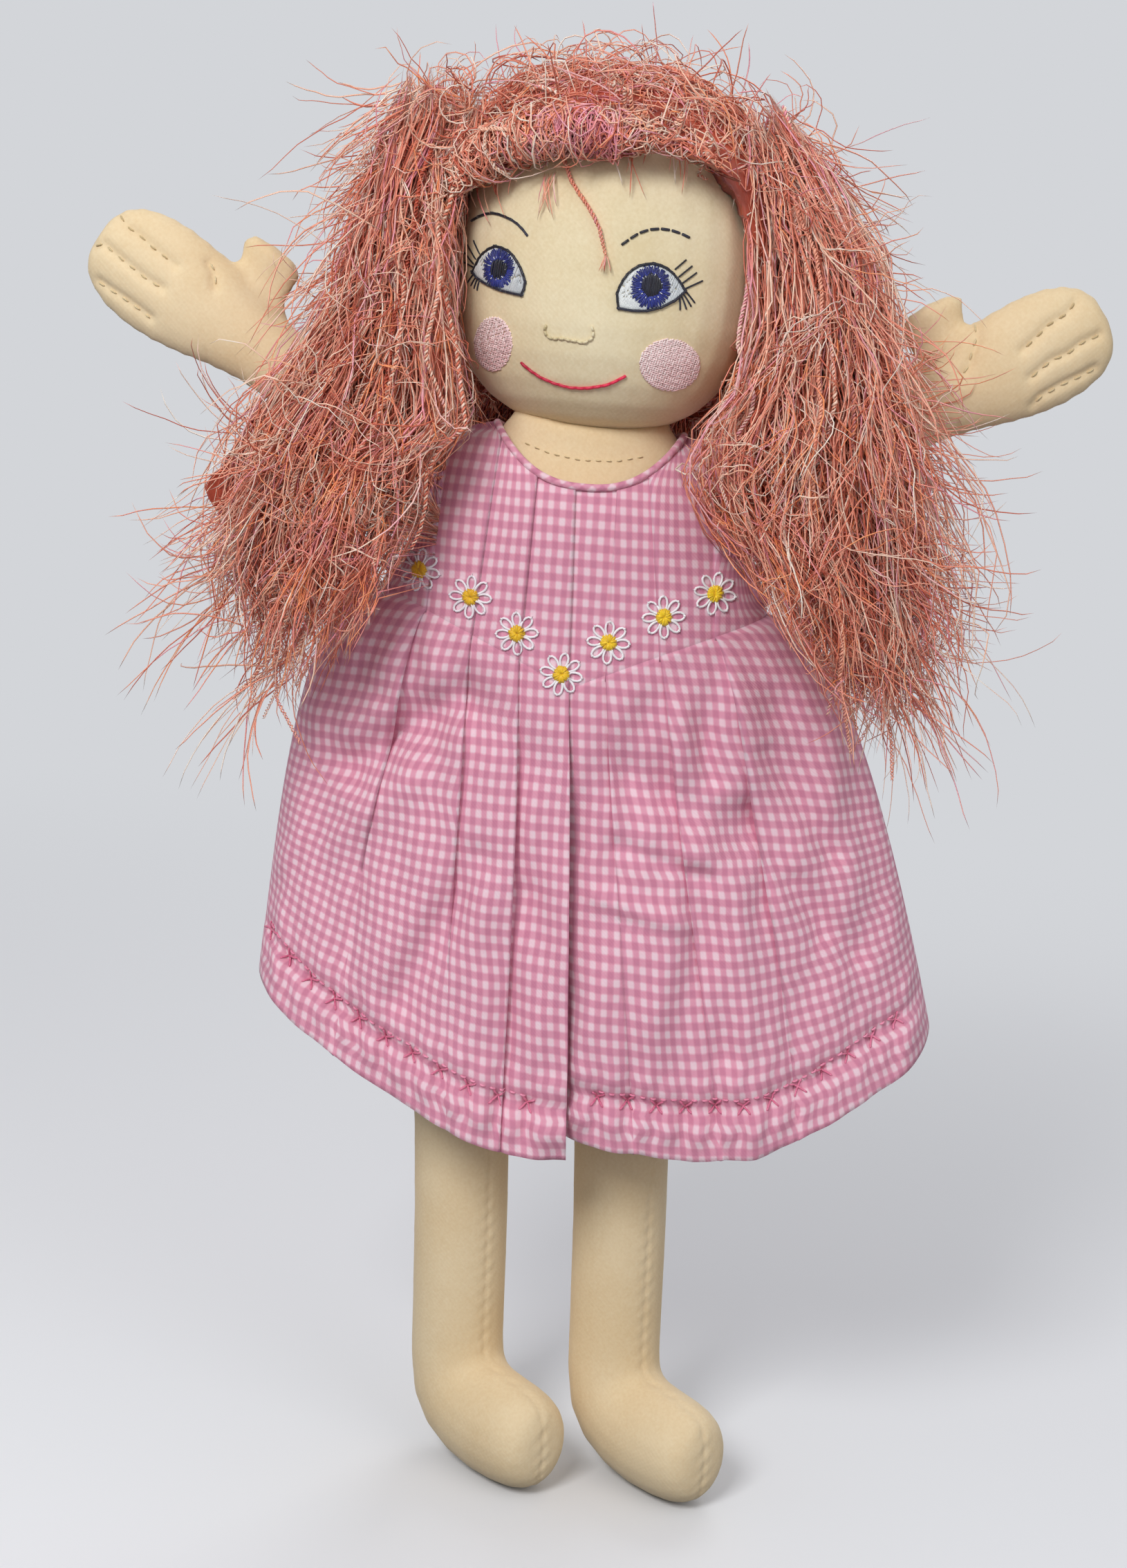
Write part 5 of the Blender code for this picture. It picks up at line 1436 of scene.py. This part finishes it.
rayon = yarn_material("rayon eyelash yarn")
hair_trees = [head_skin, arms["arm_right"], arms["arm_left"], torso_skin] + fronts
for word, side, outer, inner, seed in (("right", -1, OUTER_RIGHT, INNER_RIGHT, 3),
                                       ("left", 1, OUTER_LEFT, INNER_LEFT, 5)):
    rng = np.random.RandomState(seed)
    # The bunch's dense inside is painted shade in the darkest tone.
    core = matted_core("hair_bunch_core_" + word, BUNCH_SINK, 0.0, "hair_bunch_" + word)
    shape = (outer, inner, BUNCH_MIDDLE, BUNCH_HALF_DEPTH, -1)
    strands = locks(rng, *shape, LOCK_TOPS, LOCK_COUNT, LOCK_STRANDS)
    strands = kept_in_depth(off_face(strands, inner, side, rng))
    paths = locks(rng, *shape, PLY_TOPS, PLY_COUNT, 1)
    paths = kept_in_depth(off_face(paths, inner, side, rng))
    plies = [ply for path in paths for ply in plied(clear_of(path, hair_trees, PLY_CLEARANCE))]
    strands = [clear_of(points, hair_trees) for points in strands]
    widths = strand_widths(rng, strands, YARN) + strand_widths(rng, plies, PLY_YARN)
    strands += plies
    # The locks and chained yarns lie deeper in the bunch, so their tones are darkened as painted shade.
    tones = 0.8 * strand_tones(rng, len(strands), 0.16)
    hanging = thread_mesh("hair_bunch_locks_" + word, strands, widths, 3, tones)
    frayed = off_face(lashes(rng, *shape, LASH_SPAN, side, LASH_COUNT), inner, side, rng)
    frayed = kept_in_depth(frayed + [*flyaways(rng, outer, side, FLYAWAY_COUNT)])
    frizz = lashes(rng, *shape, FRIZZ_SPAN, side, FRIZZ_COUNT, FRIZZ_LENGTHS, FRIZZ_SPREAD, FRIZZ_BEND)
    frizz = kept_in_depth(off_face(frizz, inner, side, rng))
    tones = strand_tones(rng, len(frayed))
    roots = np.array([points[0] for points in frayed])
    low_inside = (roots[:, 2] < 0.385) & (np.abs(roots[:, 0]) < 0.085)
    tones[low_inside & (rng.uniform(size=len(roots)) < 0.35)] = 0.88
    frayed = [clear_of(points, hair_trees) for points in frayed]
    coat = thread_mesh("hair_bunch_lashes_" + word, frayed, strand_widths(rng, frayed, LASH_YARN), 3, tones)
    frizz = [clear_of(points, hair_trees) for points in frizz]
    frizz = thread_mesh("hair_bunch_frizz_" + word, frizz, strand_widths(rng, frizz, LASH_YARN), 3,
                        strand_tones(rng, len(frizz), 0.14))
    for part in (hanging, coat, frizz):
        finish(part, rayon, "yarn")
    for part in (core, hanging, coat, frizz):
        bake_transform(part)


# Over the crown the same yarn lies in a thick tangle of curls and chained loops, with loose ends
# that stand up, and a short fringe that ends at the forehead with one long wisp.
CURL_STEPS = 16
WISP = ((-15.5, 432.0), (-14.5, 430.5), (-11.7, 423.8), (-7.7, 419.2), (-2.8, 412.6), (0.2, 403.7))
ROSE_PATCH = Vector((-0.006, -0.030, 0.447))
FRINGE_END_X = 0.0405
HAIRLINE = ((-51, 416), (-42, 422), (-30, 423), (-18.6, 422), (-5, 428), (10.6, 435), (27, 433), (41.6, 427))


def tangle(rng, core, wanted, count, lengths, radii, rises):
    """Curls that lie on a mass of hair, each over and under its neighbours."""
    mesh, tree = core.data, skin_tree(core)
    faces = [p for p in mesh.polygons if wanted(p.center, p.normal)]
    sizes = np.array([p.area for p in faces])
    curls = []
    for pick in rng.choice(len(faces), count, p=sizes / sizes.sum()):
        up = Vector(faces[pick].normal)
        way = up.cross(Vector(rng.normal(0, 1, 3))).normalized()
        length, height = rng.uniform(*lengths), rng.uniform(*rises)
        bends = rng.choice([-1, 1]) * length / CURL_STEPS / rng.uniform(*radii)
        bends = bends + wander(rng, CURL_STEPS, 5, 0.5)
        lifts = height * (0.25 + 0.75 * np.abs(np.sin(np.linspace(0.3, rng.uniform(2.5, 7), CURL_STEPS))))
        place = Vector(faces[pick].center)
        points = []
        for bend, lift in zip(bends, lifts):
            points.append(place + up * lift)
            way = math.cos(bend) * way + math.sin(bend) * up.cross(way)
            place, up, _, _ = tree.find_nearest(place + way * (length / CURL_STEPS))
            way = (way - up * way.dot(up)).normalized()
        curls.append(np.array(points))
    return curls


def outward(centre, normal):
    """True on the side of the hair that faces away from the head, off the face."""
    return (centre - HEAD_CENTRE).dot(normal) > 0.2 * (centre - HEAD_CENTRE).length


def above_hairline(curls, rng):
    """Leave out curls that would lie on the forehead, but for a share."""
    kept = []
    for points in curls:
        low = points[:, 2] - np.interp(points[:, 0], line_x, line_z)
        brow = (points[:, 1] < -0.012) & (points[:, 0] > -0.046) & (points[:, 0] < FRINGE_END_X)
        if not (brow & (low < -0.0015)).any() or rng.uniform() < STRAY_SHARE:
            kept.append(points)
    return kept


def near_patch(points):
    """True for the curls of the rose patch above the forehead."""
    return (Vector(points[0]) - ROSE_PATCH).length < 0.019


rng = np.random.RandomState(8)
line_x, line_z = zip(*millimetres(HAIRLINE))
# The dense insides of the cap and the fringe are painted shade in a dark tone.
cap_core = matted_core("hair_cap_core", SCALP_SINK, 0.05, "hair_cap")
fringe_core = matted_core("hair_fringe_core", 0.0052, 0.05, "hair_fringe")
spots, _ = skin_points(fringe_core)
low = np.interp(spots[:, 0], line_x, line_z) + 0.001 - spots[:, 2]
spots[:, 2] += np.where((spots[:, 1] < -0.010) & (spots[:, 0] < FRINGE_END_X), 0.85 * np.clip(low, 0, 1), 0)
move_points(fringe_core, spots)
curls = tangle(rng, fringe_core, outward, 800, (0.016, 0.042), (0.0028, 0.0080), (0.0008, 0.0050))
curls += tangle(rng, cap_core, outward, 1150, (0.024, 0.060), (0.0040, 0.0130), (0.0006, 0.0042))
curls = kept_in_depth(above_hairline(curls, rng))
tones = strand_tones(rng, len(curls), 0.06)
tones[[near_patch(points) for points in curls]] = 0.80
crown = thread_mesh("hair_crown_curls", curls, strand_widths(rng, curls, YARN), 3, tones)
loops = tangle(rng, cap_core, outward, 700, (0.024, 0.060), (0.0045, 0.0140), (0.0008, 0.0050))
loops += tangle(rng, cap_core, lambda c, n: outward(c, n) and c.y < 0.004 and c.z > 0.425, 520,
                (0.025, 0.055),
                (0.0050, 0.0140), (0.0010, 0.0062))
loops += tangle(rng, fringe_core, outward, 190, (0.026, 0.050), (0.006, 0.014), (0.0020, 0.0080))
loops += tangle(rng, cap_core, lambda c, n: outward(c, n) and c.z > 0.420, 170, (0.035, 0.070),
                (0.007, 0.016),
                (0.005, 0.016))
loops = kept_in_depth(above_hairline(loops, rng))
loops = thread_mesh("hair_crown_loops", loops, strand_widths(rng, loops, LASH_YARN), 3,
                    strand_tones(rng, len(loops), 0.08))
chains = tangle(rng, fringe_core, outward, 9, (0.030, 0.050), (0.009, 0.020), (0.0030, 0.0060))
chains += tangle(rng, cap_core, lambda c, n: outward(c, n) and c.z > 0.42, 24, (0.045, 0.080), (0.007, 0.016),
                 (0.004, 0.009))
wisp = [on_skin(head_skin, x, z, 0.0013) for x, z in walk(millimetres(WISP), 0.004)]
wisp_end = np.repeat(np.array(wisp[-1:]), 7, 0)
chains = kept_in_depth(above_hairline(chains, rng))
chains = [ply for path in chains + [np.array(wisp)] for ply in plied(path)]
ends = rng.normal(0, 1, (7, 3)) * [0.35, 0.1, 0.2] + [0.1, -0.3, -1.0]
loose = [*loose_ends(rng, wisp_end, ends, np.full(7, 0.006), 5, 0.1, 0.05, 0.05)]
for x in rng.uniform(-0.048, 0.040, 34):
    reach, lean = rng.uniform(0.004, 0.015), rng.uniform(-0.5, 0.5)
    z = np.interp(x, line_x, line_z) + 0.004
    steps = np.linspace(0, 1, 7)
    loose.append(np.array([on_skin(head_skin, x + reach * (lean * s + 0.3 * lean * s * s),
                                   z - reach * s - 0.003 * s,
                                   0.0012 + 0.0014 * math.sin(3 * s + x)) for s in steps]))
for side, edge, count in ((1, INNER_LEFT, 80), (-1, INNER_RIGHT, 36)):
    for _ in range(count):
        z = rng.uniform(0.398, 0.436) - rng.uniform(0.018, 0.048) * np.linspace(0, 1, LASH_STEPS)
        x = table_at(edge, z) + side * rng.uniform(-0.0012, 0.0045) + wander(rng, LASH_STEPS, 5, 0.0024)
        rises = rng.uniform(0.0008, 0.0040) + np.abs(wander(rng, LASH_STEPS, 4, 0.0030))
        loose.append(np.array([on_skin(head_skin, *spot) for spot in zip(x, z, rises)]))
tops = tangle(rng, cap_core, lambda c, n: outward(c, n) and c.z > 0.435, 70, (0.002, 0.003), (0.01, 0.02),
              (0.004, 0.006))
roots = np.array([points[0] for points in tops])
ways = unit(roots - np.array(HEAD_CENTRE)) * [1.0, 0.6, 0.9] + rng.normal(0, 0.45, roots.shape)
standing = loose_ends(rng, roots, ways, rng.uniform(0.010, 0.028, len(roots)), LASH_STEPS, 0.03, 0.06, 0.14)
loose += kept_in_depth([*np.minimum(standing, [1.0, 1.0, 0.4815])])
loose = [clear_of(points, [head_skin], 0.0006) for points in loose]
widths = strand_widths(rng, chains, PLY_YARN) + strand_widths(rng, loose, LASH_YARN)
tones = np.concatenate([strand_tones(rng, len(chains), 0.05), strand_tones(rng, len(loose))])
yarns = thread_mesh("hair_crown_yarns", chains + loose, widths, 3, tones)
for part in (crown, loops, yarns):
    finish(part, rayon, "yarn")
for part in (cap_core, fringe_core, crown, loops, yarns):
    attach(part, "head")


# The hair at the back falls from the crown over the neck to the shoulder blades.
BACK_OUTER = ((460, 20), (440, 46), (400, 56), (372, 50), (357, 54), (310, 62), (280, 58), (260, 40))
BACK_INNER = tuple((z, -x) for z, x in BACK_OUTER)
BACK_MIDDLE = ((460, 8), (445, 19), (430, 29), (410, 38), (395, 41), (372, 41), (310, 41), (260, 41))
BACK_HALF_DEPTH = ((460, 3), (400, 5), (260, 5))
BACK_LOCK_TOPS = (0.400, 0.452)
BACK_LOCKS = 90
BACK_LOCK_STRANDS = 9
BACK_LASH_SPAN = (0.300, 0.450)
BACK_LASHES = 1500
BACK_SINK = 0.0030
BACK_CLEARANCE = 0.0012

# The back's dense inside is painted shade in a dark tone.
back_core = matted_core("hair_back_core", BACK_SINK, 0.05, "hair_back")
back_trees = [head_skin] + [skin_tree(bpy.data.objects["back_cloth_" + word]) for word in ("right", "left")]
shape = (BACK_OUTER, BACK_INNER, BACK_MIDDLE, BACK_HALF_DEPTH, 1)
strands = locks(rng, *shape, BACK_LOCK_TOPS, BACK_LOCKS, BACK_LOCK_STRANDS)
strands = kept_in_depth([clear_of(points, back_trees, BACK_CLEARANCE) for points in strands])
frayed = lashes(rng, *shape, BACK_LASH_SPAN, 0, BACK_LASHES)
frayed = kept_in_depth([clear_of(points, back_trees, BACK_CLEARANCE) for points in frayed])
widths = strand_widths(rng, strands, YARN) + strand_widths(rng, frayed, LASH_YARN)
back_hair = thread_mesh("hair_back_strands", strands + frayed, widths, 3,
                        strand_tones(rng, len(strands) + len(frayed)))
finish(back_hair, rayon, "yarn")
for part in (back_core, back_hair):
    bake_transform(part)


# The doll stands on a plain pale floor in soft studio light, seen from a little above and with
# the camera rolled, as in the photograph.
FLOOR_PAPER = "#f1f2f5"
TABLE_GREY = "#8a8b8e"         # what the floor throws back up, as the dark table did
ROOM_GREY = "#d3d5d9"
CAMERA_TARGET = Vector((0.0012, 0.0, 0.235))
CAMERA_DISTANCE = 0.75
CAMERA_HEIGHT = math.radians(10.0)
CAMERA_ROLL = math.radians(5.0)
LENS = 52.3
SENSOR_WIDTH = 36.0
FLOOR_SIZE = 6.0
FADE_START = 0.35             # the floor fades into the room between these distances
FADE_END = 1.30
LAMPS = {"key": ((-0.42, -0.95, 0.92), 0.4, 8.6), "fill": ((1.1, -1.2, 0.9), 1.2, 4.0),
         "rim": ((0.4, 1.3, 1.3), 0.8, 5.0)}     # each lamp's place, size and power
AIR = (0.96, 0.97, 1.0, 1.0)
AIR_STRENGTH = 0.45


def seen_directly(tree):
    """1 for what the camera sees itself or in a shine, 0 for light on its way from surfaces."""
    rays = add_node(tree, "ShaderNodeLightPath").outputs
    return add_node(tree, "ShaderNodeMath", {"operation": "MAXIMUM"},
                    {0: rays["Is Camera Ray"], 1: rays["Is Glossy Ray"]}).outputs[0]


bm = bmesh.new()
bmesh.ops.create_grid(bm, x_segments=2, y_segments=2, size=FLOOR_SIZE)
floor = new_piece("floor", bm)
paper, tree, shader = new_material("matt backdrop paper", 0.95)
shader.inputs["Base Color"].default_value = linear(FLOOR_PAPER)
place = add_node(tree, "ShaderNodeTexCoord").outputs["Object"]
off = add_node(tree, "ShaderNodeVectorMath", {"operation": "LENGTH"}, {0: place}).outputs["Value"]
far = add_node(tree, "ShaderNodeMapRange", {"interpolation_type": "SMOOTHSTEP", 1: FADE_START, 2: FADE_END},
               {0: off})
direct = seen_directly(tree)
plain = add_node(tree, "ShaderNodeMath", {"operation": "MULTIPLY"}, {0: far.outputs[0], 1: direct})
room = add_node(tree, "ShaderNodeEmission", {"Color": linear(ROOM_GREY)})
dim = add_node(tree, "ShaderNodeBsdfDiffuse", {"Color": linear(TABLE_GREY)})
lit = add_node(tree, "ShaderNodeMixShader", None, {0: direct, 1: dim.outputs[0], 2: shader.outputs[0]})
mix = add_node(tree, "ShaderNodeMixShader", None, {0: plain.outputs[0], 1: lit.outputs[0],
                                                   2: room.outputs[0]})
tree.links.new(mix.outputs[0], tree.nodes["Material Output"].inputs[0])
floor.data.materials.append(paper)

camera = bpy.data.objects.new("camera", bpy.data.cameras.new("camera"))
camera.data.lens = LENS
camera.data.sensor_width = SENSOR_WIDTH
camera.data.clip_start = 0.01
aim = CAMERA_DISTANCE * Vector((0, -math.cos(CAMERA_HEIGHT), math.sin(CAMERA_HEIGHT)))
camera.location = CAMERA_TARGET + aim
camera.rotation_mode = "XYZ"
look = Matrix.Rotation(math.pi / 2 - CAMERA_HEIGHT, 4, "X") @ Matrix.Rotation(CAMERA_ROLL, 4, "Z")
camera.rotation_euler = look.to_euler()
bpy.context.scene.collection.objects.link(camera)
bpy.context.scene.camera = camera

for name, (place, size, power) in LAMPS.items():
    lamp = bpy.data.lights.new(name, "AREA")
    lamp.size = size
    lamp.energy = power
    holder = bpy.data.objects.new(name, lamp)
    holder.location = place
    holder.rotation_euler = (Vector(place) - CAMERA_TARGET).to_track_quat("Z", "Y").to_euler()
    bpy.context.scene.collection.objects.link(holder)

world = bpy.data.worlds.new("pale room")
bpy.context.scene.world = world
world.use_nodes = True
tree = world.node_tree
air = tree.nodes["Background"]
air.inputs[0].default_value = AIR
air.inputs[1].default_value = AIR_STRENGTH
seen = add_node(tree, "ShaderNodeBackground", {0: linear(ROOM_GREY), 1: 1.0})
direct = seen_directly(tree)
mix = add_node(tree, "ShaderNodeMixShader", None, {0: direct, 1: air.outputs[0], 2: seen.outputs[0]})
tree.links.new(mix.outputs[0], tree.nodes["World Output"].inputs[0])
bpy.context.scene.view_settings.view_transform = "Standard"
